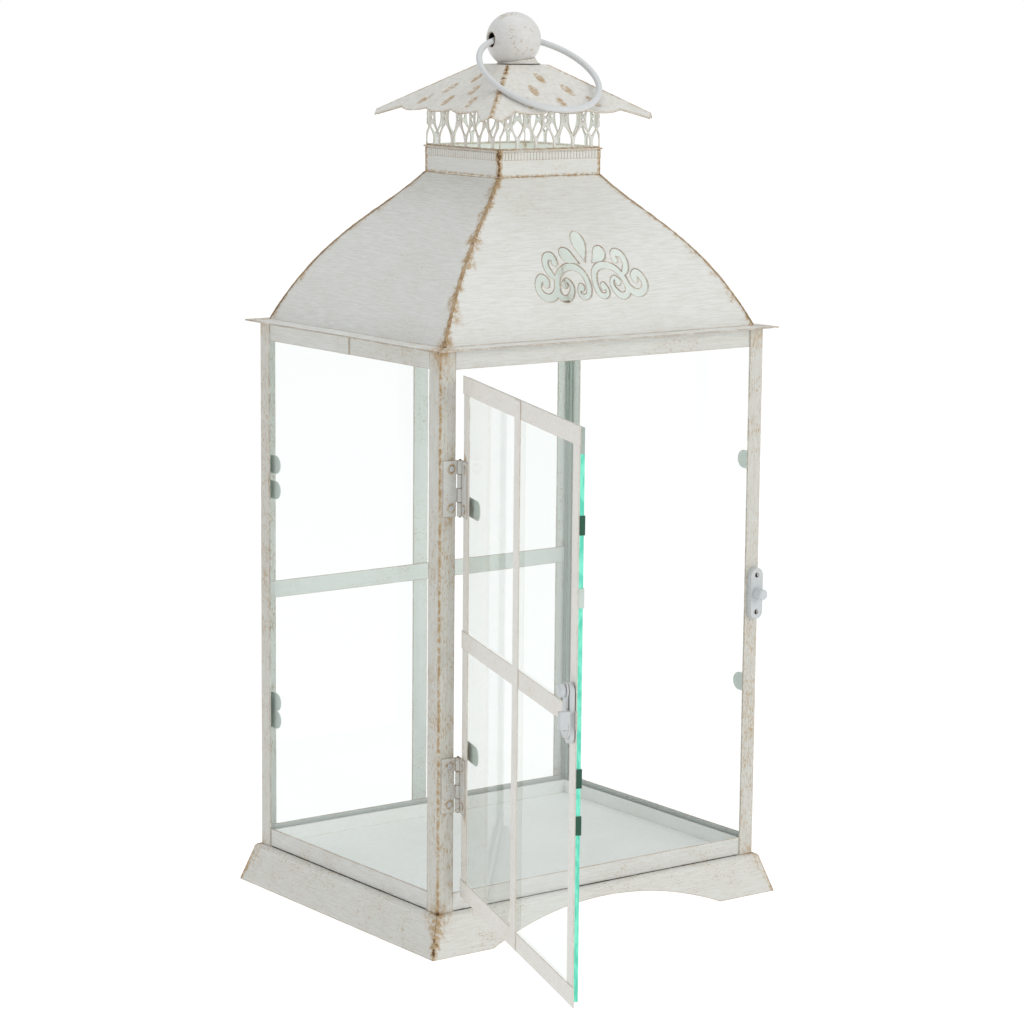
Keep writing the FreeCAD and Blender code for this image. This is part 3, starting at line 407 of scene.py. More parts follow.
def glass_edge(name):
    """The cut edge of a pane, where the light comes out green."""
    g = Graph(name)
    coords = g.add("ShaderNodeTexCoord").outputs["Object"]
    flow = g.noise(g.stretched(coords, (500.0, 500.0, 160.0)), 1.0, 3.0)
    pale = (0.20, 0.78, 0.58, 1.0)
    deep = (0.09, 0.60, 0.43, 1.0)
    colour = g.mixed(g.between(flow, 0.35, 0.65), deep, pale)
    g.feed(g.shader.inputs["Base Color"], colour)
    g.feed(g.shader.inputs["Emission Color"], colour)
    g.shader.inputs["Emission Strength"].default_value = 0.12
    g.shader.inputs["Roughness"].default_value = 0.18
    return g.material


def plain_edge(name, colour):
    """The rim of a pane where no light comes out: a flat grey-green."""
    g = Graph(name)
    coords = g.add("ShaderNodeTexCoord").outputs["Object"]
    flow = g.noise(coords, 260.0, 3.0)
    darker = tuple(0.8 * c for c in colour[:3]) + (1.0,)
    g.feed(g.shader.inputs["Base Color"], g.mixed(flow, colour, darker))
    g.shader.inputs["Roughness"].default_value = 0.35
    return g.material


# Near-black metal set only where there is shade: the hollow of the ball, the sill gaps and the slit under the
# finial's cup. It is painted shadow.
def painted_shadow_metal(name):
    g = Graph(name)
    coords = g.add("ShaderNodeTexCoord").outputs["Object"]
    tone = g.noise(coords, 300.0, 4.0)
    g.feed(g.shader.inputs["Base Color"], g.mixed(tone, (0.02, 0.018, 0.016, 1.0),
                                                  (0.09, 0.07, 0.05, 1.0)))
    g.shader.inputs["Metallic"].default_value = 0.6
    g.feed(g.shader.inputs["Roughness"], g.between(tone, 0.2, 0.8, 0.45, 0.75))
    return g.material


MATERIALS = {}
for slot_name, changes in PAINT_LOOKS.items():
    MATERIALS[slot_name] = painted(slot_name, {**PAINT, **changes})
MATERIALS["pane_glass"] = glass_sheet("pane_glass", (0.976, 0.983, 0.980, 1.0))
MATERIALS["door_glass"] = glass_sheet("door_glass", (0.950, 0.962, 0.955, 1.0))
MATERIALS["glass_edge"] = glass_edge("glass_edge")
MATERIALS["painted_shadow_metal"] = painted_shadow_metal("painted_shadow_metal")
MATERIALS["dull_edge"] = plain_edge("dull_edge", (0.42, 0.50, 0.45, 1.0))
MATERIALS["edge_shadow"] = plain_edge("edge_shadow", (0.006, 0.085, 0.045, 1.0))

SLOT_OF = {part["node"]: part["material_slot"] for part in frame["record"]["subparts"]}
BODY_OF = {}
for body_name, members in frame["record"]["behaviour"]["bodies"].items():
    for member in members:
        BODY_OF[member] = body_name

# ---- Mesh helpers ---------------------------------------------------------

WELD = 0.002 * MM
FLAT_ANGLE = math.radians(0.4)
CORNER_ANGLE = math.radians(32)
SMOOTH_ANGLE = math.radians(38)
NEAR_AN_END = (1.0 * MM, 2.2 * MM, 4.0 * MM, 7.0 * MM)
SHORTEST_SPAN_IN_STEPS = 1.2
CLOSEST_CUTS_IN_STEPS = 0.25
RIPPLE_WAVELENGTH = 55.0 * MM
RIPPLE_FADE = 2.0 * MM


def node_mesh(node):
    """The CAD node's mesh, welded and with its flat faces whole."""
    shape = bmesh.new()
    shape.from_mesh(frame["nodes"][node].data)
    bmesh.ops.remove_doubles(shape, verts=shape.verts, dist=WELD)
    bmesh.ops.dissolve_limit(shape, angle_limit=FLAT_ANGLE, verts=shape.verts,
                             edges=shape.edges)
    return shape


def cut_places(low, high, step):
    """Where to slice: closely near both ends, evenly between."""
    span = high - low
    if span < SHORTEST_SPAN_IN_STEPS * step:
        return []
    places = set()
    for offset in NEAR_AN_END:
        if offset < span / 2:
            places.update((low + offset, high - offset))
    count = int(span / step)
    for i in range(1, count):
        place = low + span * i / count
        if all(abs(place - other) > CLOSEST_CUTS_IN_STEPS * step for other in places):
            places.add(place)
    return sorted(places)


def slice_along(shape, direction, step):
    direction = direction.normalized()
    along = [vertex.co.dot(direction) for vertex in shape.verts]
    for place in cut_places(min(along), max(along), step):
        geometry = shape.verts[:] + shape.edges[:] + shape.faces[:]
        bmesh.ops.bisect_plane(shape, geom=geometry, dist=WELD, plane_no=direction,
                               plane_co=direction * place)


def round_corners(shape, width, untouched=None):
    """A small bevel on every sharp edge, except in the box that is left untouched."""
    edges = []
    for edge in shape.edges:
        if len(edge.link_faces) != 2 or edge.calc_face_angle() < CORNER_ANGLE:
            continue
        if untouched and within((edge.verts[0].co + edge.verts[1].co) / 2, *untouched):
            continue
        edges.append(edge)
    bmesh.ops.bevel(shape, geom=edges, offset=width, offset_type="OFFSET", segments=2,
                    profile=0.6, affect="EDGES", clamp_overlap=True)


def within(point, low, high):
    return all(a <= p <= b for p, a, b in zip(point, low, high))


def ripple(shape, amount):
    """The slight waviness of hand-folded sheet, fading out at the limits of the CAD box."""
    for vertex in shape.verts:
        room = min(min(p - a, b - p) for p, a, b in zip(vertex.co, cad_low, cad_high))
        push = noise.noise_vector(vertex.co / RIPPLE_WAVELENGTH)
        vertex.co += push * amount * max(0.0, min(1.0, room / RIPPLE_FADE))


def add_piece(name, shape, materials, body, nodes=()):
    """Turns a bmesh into an object that rides on a body and stands for CAD nodes."""
    shape.normal_update()
    mesh = bpy.data.meshes.new(name)
    shape.to_mesh(mesh)
    shape.free()
    if "custom_normal" in mesh.attributes:
        mesh.attributes.remove(mesh.attributes["custom_normal"])
    for material in materials:
        mesh.materials.append(MATERIALS[material])
    mesh.shade_smooth()
    mesh.set_sharp_from_angle(angle=SMOOTH_ANGLE)
    add_grime(mesh)
    piece = bpy.data.objects.new(name, mesh)
    bpy.context.scene.collection.objects.link(piece)
    weighting = piece.modifiers.new("even_normals", "WEIGHTED_NORMAL")
    weighting.keep_sharp = True
    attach(piece, body)
    if nodes:
        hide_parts(*nodes)
    return piece


def reworked(node, step=12.0 * MM, rounding=0.16 * MM, waviness=0.12 * MM,
             across=(Vector((1, 0, 0)), Vector((0, 1, 0)), UP), untouched=None, look=None):
    """A CAD node again, with eased edges and the waviness of real sheet."""
    shape = node_mesh(node)
    round_corners(shape, rounding, untouched)
    for direction in across:
        slice_along(shape, direction, step)
    ripple(shape, waviness)
    bmesh.ops.recalc_face_normals(shape, faces=shape.faces)
    return add_piece(node + "_sheet", shape, [look or SLOT_OF[node]], BODY_OF[node], [node])


# ---- Grime ----------------------------------------------------------------

GRIME = []
GRIME_REACH_AND_STRENGTH = {
    "base_corner": (3.0 * MM, 1.25), "post_edge": (1.7 * MM, 0.95),
    "post_foot": (13.0 * MM, 0.55), "post_head": (16.0 * MM, 0.6),
    "neck_corner": (3.4 * MM, 1.1), "hat_hip": (2.3 * MM, 0.95),
    "roof_hip": (2.6 * MM, 0.75), "collar_foot": (1.6 * MM, 0.55),
    "collar_top": (1.5 * MM, 0.6), "rivet": (3.6 * MM, 1.25),
}
FAR_CORNER_SHARE = 0.7


def grime_line(kind, start, end, share=1.0):
    reach, strength = GRIME_REACH_AND_STRENGTH[kind]
    GRIME.append((Vector(start), Vector(end), reach, strength * share))


def grime_spot(kind, place, share=1.0):
    grime_line(kind, place, place, share)


def grime_at(points):
    """The strongest grime that reaches each point."""
    most = np.zeros(len(points))
    for start, end, reach, strength in GRIME:
        run = np.array(end - start)
        length = float(run @ run)
        offset = points - np.array(start)
        if length > 0.0:
            share = np.clip(offset @ run / length, 0.0, 1.0)
            offset = offset - share[:, None] * run
        gap = np.linalg.norm(offset, axis=1)
        most = np.maximum(most, strength * np.clip(1.0 - gap / reach, 0.0, 1.0))
    return most


def add_grime(mesh):
    points = np.zeros(len(mesh.vertices) * 3)
    mesh.vertices.foreach_get("co", points)
    attribute = mesh.attributes.new("grime", "FLOAT", "POINT")
    attribute.data.foreach_set("value", grime_at(points.reshape(-1, 3)))


# Where brown gathers: corner seams, hips, feet of the posts, rivets and screw holes.
BASE_LOW, BASE_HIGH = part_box("base_skirt_front")
COLLAR_LOW, COLLAR_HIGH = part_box("collar")
POST_LOW, POST_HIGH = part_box("post_front_left")
HAT_LOW, HAT_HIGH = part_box("hat_roof")
HALF_WIDTH = -POST_LOW.x
HALF_DEPTH = -POST_LOW.y
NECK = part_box("gallery_front")[0].y
HAT_FLAT = 14.0 * MM
CUP_LOW, CUP_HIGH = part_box("finial_cup")
ROOF_FOOT = 327.2 * MM
ROOF_TOP = COLLAR_LOW.z
BELL_RISE = 0.70
BELL_POWER = 1.8
ROOF_FOOT_SHARE = 0.94
HIP_STEPS = 28


def hip_points(side_x, side_y):
    """Along one corner of the roof, from the neck to the lip."""
    points = []
    for i in range(HIP_STEPS + 1):
        u = i / HIP_STEPS
        share = u * ROOF_FOOT_SHARE
        height = 1.0 - u + BELL_RISE * u ** BELL_POWER * (1.0 - u)
        x = -NECK + (HALF_WIDTH + NECK) * share
        y = -NECK + (HALF_DEPTH + NECK) * share
        z = ROOF_FOOT + (ROOF_TOP - ROOF_FOOT) * height
        points.append(Vector((side_x * x, side_y * y, z)))
    return points


def note_grime():
    for side_x in (-1, 1):
        for side_y in (-1, 1):
            near = 1.0 if side_x < 0 and side_y < 0 else FAR_CORNER_SHARE
            foot = (side_x * HALF_WIDTH, side_y * HALF_DEPTH, POST_LOW.z)
            toe = (side_x * BASE_HIGH.x, side_y * -BASE_LOW.y, 0.0)
            head = (side_x * HALF_WIDTH, side_y * HALF_DEPTH, POST_HIGH.z)
            grime_line("base_corner", foot, toe, near)
            grime_line("post_edge", foot, head, near)
            grime_spot("post_foot", foot, near)
            grime_spot("post_head", head, near)
            neck_low = (side_x * -NECK, side_y * -NECK, COLLAR_LOW.z)
            neck_high = (side_x * -NECK, side_y * -NECK, COLLAR_HIGH.z)
            grime_line("neck_corner", neck_low, neck_high, near)
            crown = (side_x * HAT_FLAT, side_y * HAT_FLAT, HAT_HIGH.z)
            tip = (side_x * HAT_HIGH.x, side_y * HAT_HIGH.x, HAT_LOW.z)
            grime_line("hat_hip", crown, tip, near)
            hip = hip_points(side_x, side_y)
            for here, there in zip(hip, hip[1:]):
                grime_line("roof_hip", here, there, near)
    around = [(NECK, NECK), (-NECK, NECK), (-NECK, -NECK), (NECK, -NECK)]
    for (x0, y0), (x1, y1) in zip(around, around[1:] + around[:1]):
        grime_line("collar_foot", (x0, y0, COLLAR_LOW.z), (x1, y1, COLLAR_LOW.z))
        grime_line("collar_top", (x0, y0, COLLAR_HIGH.z), (x1, y1, COLLAR_HIGH.z))


# ---- Turned and swept shapes ----------------------------------------------


def quarter_turn(turn):
    return Matrix.Rotation(math.radians(90 * turn), 3, "Z")


def join_rings(shape, pairs):
    """Quads between the two closed rings of each pair."""
    for lower, upper in pairs:
        for i in range(len(lower)):
            j = (i + 1) % len(lower)
            shape.faces.new((lower[i], lower[j], upper[j], upper[i]))


def lathe(profile, steps, place, axis, closed=True):
    """Turns an outline of (along, radius) pairs about an axis."""
    basis = Vector(axis).to_track_quat("Z", "X").to_matrix()
    shape = bmesh.new()
    rings = []
    for along, radius in profile:
        ring = []
        for i in range(steps):
            turn = math.tau * i / steps
            spoke = Vector((radius * math.cos(turn), radius * math.sin(turn), along))
            ring.append(shape.verts.new(Vector(place) + basis @ spoke))
        rings.append(ring)
    pairs = list(zip(rings, rings[1:]))
    if closed:
        pairs.append((rings[-1], rings[0]))
    join_rings(shape, pairs)
    bmesh.ops.remove_doubles(shape, verts=shape.verts, dist=WELD)
    bmesh.ops.recalc_face_normals(shape, faces=shape.faces)
    return shape


def arc_points(start, middle, end, count):
    """Points on the circle through three points, without the last one."""
    a, b, c = Vector(start), Vector(middle), Vector(end)
    d = 2 * (a.x * (b.y - c.y) + b.x * (c.y - a.y) + c.x * (a.y - b.y))
    aa, bb, cc = a.length_squared, b.length_squared, c.length_squared
    centre = Vector(((aa * (b.y - c.y) + bb * (c.y - a.y) + cc * (a.y - b.y)) / d,
                     (aa * (c.x - b.x) + bb * (a.x - c.x) + cc * (b.x - a.x)) / d))
    radius = (a - centre).length
    first = math.atan2(a.y - centre.y, a.x - centre.x)
    last = math.atan2(c.y - centre.y, c.x - centre.x)
    halfway = math.atan2(b.y - centre.y, b.x - centre.x)
    sweep = (last - first) % math.tau
    if (halfway - first) % math.tau > sweep:
        sweep -= math.tau
    points = []
    for i in range(count):
        angle = first + sweep * i / count
        points.append(centre + radius * Vector((math.cos(angle), math.sin(angle))))
    return points


# ---- Finial and ring ------------------------------------------------------

BALL_RADIUS = 15.3 * MM
BALL_WALL = 0.9 * MM
BORE_RADIUS = 4.0 * MM
RING_RADIUS = 34.5 * MM
RING_WIRE = 1.7 * MM
RING_SLACK = 1.7 * MM
BALL_PLACE = Vector(JOINTS["ring_swing"]["pos_m"])
BORE_AXIS = Vector(JOINTS["ring_swing"]["axis"])


def add_ball():
    """A hollow ball with the ring's two holes, painted outside; its hollow is near-black painted shadow."""
    inner = BALL_RADIUS - BALL_WALL
    outer_start = math.asin(BORE_RADIUS / BALL_RADIUS) + 0.02
    inner_start = math.asin(BORE_RADIUS / inner)
    steps = 64
    profile = []
    for i in range(steps + 1):
        angle = outer_start + (math.pi - 2 * outer_start) * i / steps
        profile.append((BALL_RADIUS * math.cos(angle), BALL_RADIUS * math.sin(angle)))
    for i in range(steps + 1):
        angle = math.pi - inner_start - (math.pi - 2 * inner_start) * i / steps
        profile.append((inner * math.cos(angle), inner * math.sin(angle)))
    shape = lathe(profile, 96, BALL_PLACE, BORE_AXIS)
    middle = BALL_RADIUS - 0.6 * BALL_WALL
    # Faces of the hollow take the near-black metal: painted shadow.
    for face in shape.faces:
        if (face.calc_center_median() - BALL_PLACE).length < middle:
            face.material_index = 1
    for vertex in shape.verts:
        push = noise.noise(vertex.co / (9.0 * MM))
        vertex.co += (vertex.co - BALL_PLACE).normalized() * (push - 0.6) * 0.12 * MM
    add_piece("finial_ball_shell", shape, ["ball_paint", "painted_shadow_metal"], "frame",
              ["finial_ball"])


def add_ring():
    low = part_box("carry_ring")[0].z
    reach = RING_RADIUS - RING_SLACK
    lean = math.asin((BALL_PLACE.z - RING_WIRE - low) / (reach + RING_RADIUS))
    forward = BORE_AXIS.cross(UP).normalized()
    if forward.y > 0:
        forward = -forward
    down_slope = forward * math.cos(lean) - UP * math.sin(lean)
    centre = BALL_PLACE + down_slope * reach
    side = BORE_AXIS.normalized()
    normal = side.cross(down_slope)
    shape = bmesh.new()
    around, along = 20, 200
    rings = []
    for i in range(along):
        turn = math.tau * i / along
        spoke = side * math.cos(turn) + down_slope * math.sin(turn)
        ring = []
        for j in range(around):
            angle = math.tau * j / around
            wire = spoke * math.cos(angle) + normal * math.sin(angle)
            ring.append(shape.verts.new(centre + spoke * RING_RADIUS + wire * RING_WIRE))
        rings.append(ring)
    for i in range(along):
        here, there = rings[i], rings[(i + 1) % along]
        for j in range(around):
            k = (j + 1) % around
            shape.faces.new((here[j], there[j], there[k], here[k]))
    bmesh.ops.recalc_face_normals(shape, faces=shape.faces)
    add_piece("carry_ring_wire", shape, ["ring_paint"], "ring", ["carry_ring"])


# ---- Hat ------------------------------------------------------------------

HAT_TIP = 58.5 * MM
HAT_TIP_CUT = 51.0 * MM
LOBE_REACH = 53.0 * MM
LOBE_HALF = 12.0 * MM
LOBE_DIP = 2.2 * MM
HAT_SLOPE = 0.630
SHEET = 0.8 * MM
LEAF_LENGTH = 9.5 * MM
LEAF_WIDTH = 6.4 * MM
LEAF_DEPTH = 0.8 * MM
LEAF_STAIN_FROM = 0.12
FIRST_LEAF_ROW = 0.22
LEAF_ROW_STEP = 0.25
HAT_HOLE = 8.0 * MM
HAT_FLAT_ROWS = 6
HAT_ROWS = 52
TIP_EASE = 1.9 * MM
TIP_STEPS = 22
LOBE_STEPS = 32
FLARE_X = 41.5 * MM
FLARE_Y = -53.6 * MM
SAG = 0.5 * MM
SAG_WAVELENGTH = 22.0 * MM
SAG_FADE = 8.0 * MM
SHEET_SHARE_ON_SLOPE = 1.16


def hat_edge():
    """Plan of the -Y edge from hip to hip: a blunt tip, three lobes, a blunt tip."""
    cusp = -(LOBE_REACH - LOBE_DIP)
    hip = (HAT_TIP + HAT_TIP_CUT) / 2
    points = [Vector((-hip, -hip)), Vector((-HAT_TIP_CUT - TIP_EASE, -HAT_TIP + TIP_EASE))]
    points += arc_points((-HAT_TIP_CUT, -HAT_TIP), (-FLARE_X, FLARE_Y),
                         (-3 * LOBE_HALF, cusp), TIP_STEPS)
    for lobe in (-1, 0, 1):
        middle = 2 * lobe * LOBE_HALF
        points += arc_points((middle - LOBE_HALF, cusp), (middle, -LOBE_REACH),
                             (middle + LOBE_HALF, cusp), LOBE_STEPS)
    points += arc_points((3 * LOBE_HALF, cusp), (FLARE_X, FLARE_Y),
                         (HAT_TIP_CUT, -HAT_TIP), TIP_STEPS)
    points += [Vector((HAT_TIP_CUT, -HAT_TIP)),
               Vector((HAT_TIP_CUT + TIP_EASE, -HAT_TIP + TIP_EASE)), Vector((hip, -hip))]
    return points


def leaf_centres():
    """Rows of three, two and one pressed leaves, from the edge up, on the -Y face."""
    drop = LOBE_REACH - HAT_FLAT
    centres = []
    for row, count in enumerate((3, 2, 1)):
        y = LOBE_REACH - drop * (FIRST_LEAF_ROW + LEAF_ROW_STEP * row)
        for i in range(count):
            share = (i + 1) / (count + 1)
            centres.append(Vector((y * (2 * share - 1), -y)))
    return centres


def leaf_depth(x, y, centres):
    """How far the sheet is pressed down here, as a share of the full depth."""
    for centre in centres:
        along = (y - centre.y) / (LEAF_LENGTH / 2)
        lean = centre.x / -centre.y * (y - centre.y)
        across = abs(x - centre.x + 0.5 * lean)
        if abs(along) >= 1.0:
            continue
        width = LEAF_WIDTH / 2 * (1.0 - along * along) ** 0.5
        if across < width:
            return 1.0 - (across / width) ** 2
    return 0.0


def add_hat():
    top = HAT_HIGH.z
    edge = hat_edge()
    centres = leaf_centres()
    shape = bmesh.new()
    pressed = {}

    def corner(x, y, turn, lower):
        depth = leaf_depth(x, y, centres)
        slope = max(0.0, -y - HAT_FLAT)
        sag = SAG * noise.noise(Vector((x, y, turn * 0.1)) / SAG_WAVELENGTH)
        fade = min(1.0, max(0.0, (LOBE_REACH + y) / SAG_FADE, 0.25))
        fade *= min(1.0, slope / HAT_FLAT)
        z = top - HAT_SLOPE * slope - depth * LEAF_DEPTH + sag * fade * 0.5
        if lower:
            z -= SHEET * SHEET_SHARE_ON_SLOPE if slope > 0 else SHEET
        spot = quarter_turn(turn) @ Vector((x, y, z))
        vertex = shape.verts.new(spot)
        if depth > LEAF_STAIN_FROM and not lower:
            pressed[tuple(round(c, 6) for c in spot)] = depth
        return vertex

    for turn in range(4):
        sheets = []
        for lower in (False, True):
            grid = []
            for row in range(-HAT_FLAT_ROWS, HAT_ROWS + 1):
                line = []
                for i, outer in enumerate(edge):
                    across = i / (len(edge) - 1) * 2 - 1
                    start = Vector((across * HAT_FLAT, -HAT_FLAT))
                    angle = across * math.pi / 4
                    hole = HAT_HOLE * Vector((math.sin(angle), -math.cos(angle)))
                    if row < 0:
                        here = start.lerp(hole, -row / HAT_FLAT_ROWS)
                    else:
                        here = start.lerp(outer, row / HAT_ROWS)
                    line.append(corner(here.x, here.y, turn, lower))
                grid.append(line)
            sheets.append(grid)
        for lower, grid in enumerate(sheets):
            for above, below in zip(grid, grid[1:]):
                for i in range(len(above) - 1):
                    quad = (above[i], above[i + 1], below[i + 1], below[i])
                    shape.faces.new(quad if lower else quad[::-1])
        for rim_top, rim_low in ((sheets[0][-1], sheets[1][-1]), (sheets[0][0], sheets[1][0])):
            for i in range(len(rim_top) - 1):
                shape.faces.new((rim_top[i], rim_top[i + 1], rim_low[i + 1], rim_low[i]))
    bmesh.ops.remove_doubles(shape, verts=shape.verts, dist=5 * WELD)
    bmesh.ops.recalc_face_normals(shape, faces=shape.faces)
    piece = add_piece("hat_pressed", shape, ["hat_paint"], "frame", ["hat_roof"])
    grime = piece.data.attributes["grime"]
    for i, vertex in enumerate(piece.data.vertices):
        depth = pressed.get(tuple(round(c, 6) for c in vertex.co))
        if depth:
            grime.data[i].value = max(grime.data[i].value, 0.22 + 0.24 * depth)


# ---- Neck -----------------------------------------------------------------

FLUTES = 33
FLUTE_STEPS = 8
FLUTE_RELIEF = 0.42 * MM
TACKS_A_SIDE = 7
BEAD_SIDES = 8
BEAD_DRIFT_WAVELENGTH = 4.5 * MM
BEAD_LUMP_WAVELENGTH = 2.2 * MM


def add_reeded_band():
    """A strip of upright flutes round the collar."""
    low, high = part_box("collar_reeded_band")
    half_out = high.x
    half_in = -NECK + 0.02 * MM
    samples = FLUTE_STEPS * FLUTES
    tall = high.z - low.z
    levels = ((0.0, 0.35), (0.25 * MM, 0.8), (0.6 * MM, 1.0),
              (tall - 0.6 * MM, 1.0), (tall - 0.25 * MM, 0.8), (tall, 0.35))
    shape = bmesh.new()
    rings = []
    for rise, fullness in levels:
        ring = []
        for turn in range(4):
            spin = quarter_turn(turn)
            for i in range(samples):
                share = i / samples
                swell = abs(math.sin(math.pi * share * FLUTES)) ** 0.7
                out = half_out - FLUTE_RELIEF * (1.0 - swell * fullness)
                x = (2 * share - 1) * (half_out - FLUTE_RELIEF)
                ring.append(shape.verts.new(spin @ Vector((x, -out, low.z + rise))))
        rings.append(ring)
    for rise in (high.z, low.z):
        ring = []
        for turn in range(4):
            spin = quarter_turn(turn)
            for i in range(samples):
                x = (2 * i / samples - 1) * half_in
                ring.append(shape.verts.new(spin @ Vector((x, -half_in, rise))))
        rings.append(ring)
    join_rings(shape, zip(rings, rings[1:] + rings[:1]))
    bmesh.ops.recalc_face_normals(shape, faces=shape.faces)
    add_piece("reeded_band_flutes", shape, ["neck_paint"], "frame", ["collar_reeded_band"])


def add_solder_tacks():
    """Small beads of solder along the joint of collar and roof."""
    draw = random.Random(7)
    shape = bmesh.new()
    for turn in range(4):
        spin = quarter_turn(turn)
        for i in range(TACKS_A_SIDE):
            share = (i + 0.5 + draw.uniform(-0.18, 0.18)) / TACKS_A_SIDE
            place = spin @ Vector(((1 - 2 * share) * NECK, NECK, COLLAR_LOW.z + 0.5 * MM))
            bead = bmesh.ops.create_icosphere(shape, subdivisions=2, radius=1.0)["verts"]
            size = Vector((draw.uniform(0.8, 1.5), 0.5, draw.uniform(0.5, 0.8))) * MM
            for vertex in bead:
                lump = 1.0 + 0.25 * noise.noise(vertex.co * 1.7 + Vector((turn, i, 0)))
                vertex.co = place + spin @ Vector(c * s for c, s in zip(vertex.co * lump, size))
    add_piece("collar_solder_tacks", shape, ["neck_paint"], "frame")


def add_bead(shape, points, outward, radius, waver=0.0):
    """An uneven eight-sided bead along a line of points."""
    rings = []
    for i, point in enumerate(points):
        ahead = points[min(i + 1, len(points) - 1)]
        behind = points[max(i - 1, 0)]
        along = (ahead - behind).normalized()
        across = along.cross(outward).normalized()
        over = across.cross(along)
        drift = noise.noise(point / BEAD_DRIFT_WAVELENGTH) * waver
        size = radius * (1.0 + 0.5 * noise.noise(point / BEAD_LUMP_WAVELENGTH + UP))
        if i in (0, len(points) - 1):
            size *= 0.3
        ring = []
        for j in range(BEAD_SIDES):
            turn = math.tau * j / BEAD_SIDES
            spoke = across * math.cos(turn) * 1.35 + over * math.sin(turn) * 0.7
            ring.append(shape.verts.new(point + across * drift + spoke * size))
        rings.append(ring)
    join_rings(shape, zip(rings, rings[1:]))
    shape.faces.new(rings[0][::-1])
    shape.faces.new(rings[-1])


def between_points(start, end, count):
    return [Vector(start).lerp(Vector(end), i / count) for i in range(count + 1)]


def add_hip_seams():
    """A thin uneven bead of solder and worn paint down each corner of the roof."""
    shape = bmesh.new()
    for side_x, side_y in ((-1, -1), (-1, 1), (1, 1), (1, -1)):
        hip = hip_points(side_x, side_y)
        outward = Vector((side_x, side_y, 0.6)).normalized()
        fine = []
        for here, there in zip(hip, hip[1:]):
            fine += [here.lerp(there, step / 3) for step in range(3)]
        fine.append(hip[-1])
        fine = [point - outward * 0.15 * MM for point in fine]
        add_bead(shape, fine, outward, 0.62 * MM, 0.45 * MM)
    bmesh.ops.recalc_face_normals(shape, faces=shape.faces)
    add_piece("roof_hip_seams", shape, ["seam_paint"], "frame")


def add_sill_gap_shadows():
    """A dark line where the base meets the strips above it: painted shadow of the gap between them."""
    shape = bmesh.new()
    x = HALF_WIDTH - 0.55 * MM
    y = HALF_DEPTH - 0.55 * MM
    z = POST_LOW.z + 0.12 * MM
    inset = 10.5 * MM
    corners_x, corners_y = HALF_WIDTH - inset, HALF_DEPTH - inset
    runs = (((-x, -corners_y, z), (-x, corners_y, z), Vector((-1, 0, 0))),
            ((x, -corners_y, z), (x, corners_y, z), Vector((1, 0, 0))),
            ((-corners_x, -y, z), (corners_x, -y, z), Vector((0, -1, 0))),
            ((-corners_x, y, z), (corners_x, y, z), Vector((0, 1, 0))))
    for start, end, outward in runs:
        add_bead(shape, between_points(start, end, 90), outward, 0.26 * MM)
    bmesh.ops.recalc_face_normals(shape, faces=shape.faces)
    add_piece("sill_gap_shadows", shape, ["painted_shadow_metal"], "frame")


def add_cup_slit_shadow():
    """The dark slit between the finial's cup and the hat, on the low side: painted shadow of the gap."""
    shape = bmesh.new()
    middle = (CUP_LOW + CUP_HIGH) / 2
    radius = (CUP_HIGH.x - CUP_LOW.x) / 2 + 0.1 * MM
    points = []
    for i in range(61):
        turn = math.radians(170 + 150 * i / 60)
        points.append(Vector((middle.x + radius * math.cos(turn),
                              middle.y + radius * math.sin(turn), CUP_LOW.z + 0.3 * MM)))
    add_bead(shape, points, UP, 0.34 * MM)
    bmesh.ops.recalc_face_normals(shape, faces=shape.faces)
    add_piece("finial_cup_slit_shadow", shape, ["painted_shadow_metal"], "frame")


# ---- Rivets ---------------------------------------------------------------

RIVET_SEAT = 0.75 * MM
# Outlines in millimetres: (along, radius), the tail's counted from its far end.
RIVET_TAIL = ((0.75, 0.0), (0.75, 1.4), (1.05, 1.5), (1.05, 0.88))
RIVET_HEAD = ((0.0, 0.88), (0.02, 1.55), (0.12, 1.66), (0.26, 1.5), (0.36, 1.0),
              (0.38, 0.66), (0.22, 0.46), (0.14, 0.0))


def islands(shape):
    """The separate lumps of a mesh, each as a list of its points."""
    left = set(shape.verts)
    found = []
    while left:
        queue = [left.pop()]
        lump = []
        while queue:
            vertex = queue.pop()
            lump.append(vertex.co.copy())
            for edge in vertex.link_edges:
                other = edge.other_vert(vertex)
                if other in left:
                    left.remove(other)
                    queue.append(other)
        found.append(lump)
    return found


def add_rivets(node, outward, body):
    """Dome heads with a punched middle, where the CAD rivets are."""
    source = node_mesh(node)
    shape = bmesh.new()
    places = []
    for lump in islands(source):
        centre = sum(lump, Vector()) / len(lump)
        face = max(point.dot(outward) for point in lump)
        tail = min(point.dot(outward) for point in lump)
        seat = centre + outward * (face - centre.dot(outward) - RIVET_SEAT)
        places.append(seat)
        length = face - tail
        profile = [(along * MM - length, radius * MM) for along, radius in RIVET_TAIL]
        profile += [(along * MM, radius * MM) for along, radius in RIVET_HEAD]
        head = lathe(profile, 28, seat, outward, closed=False)
        mesh = bpy.data.meshes.new("rivet")
        head.to_mesh(mesh)
        head.free()
        shape.from_mesh(mesh)
        bpy.data.meshes.remove(mesh)
    source.free()
    add_piece(node + "_heads", shape, ["hardware_paint"], body, [node])
    return places


# ---- Glass ----------------------------------------------------------------

PANE_THICKNESS = 2.2 * MM
PANE_EASE = 0.25 * MM
RIVET_HOLE_REACH = 5.0 * MM
LIT_EDGE_TOP = 299.5 * MM
EDGE_CLIP = 230.9 * MM
EDGE_CLIP_REACH = 8.0 * MM
EDGE_WRAP = 0.6 * MM


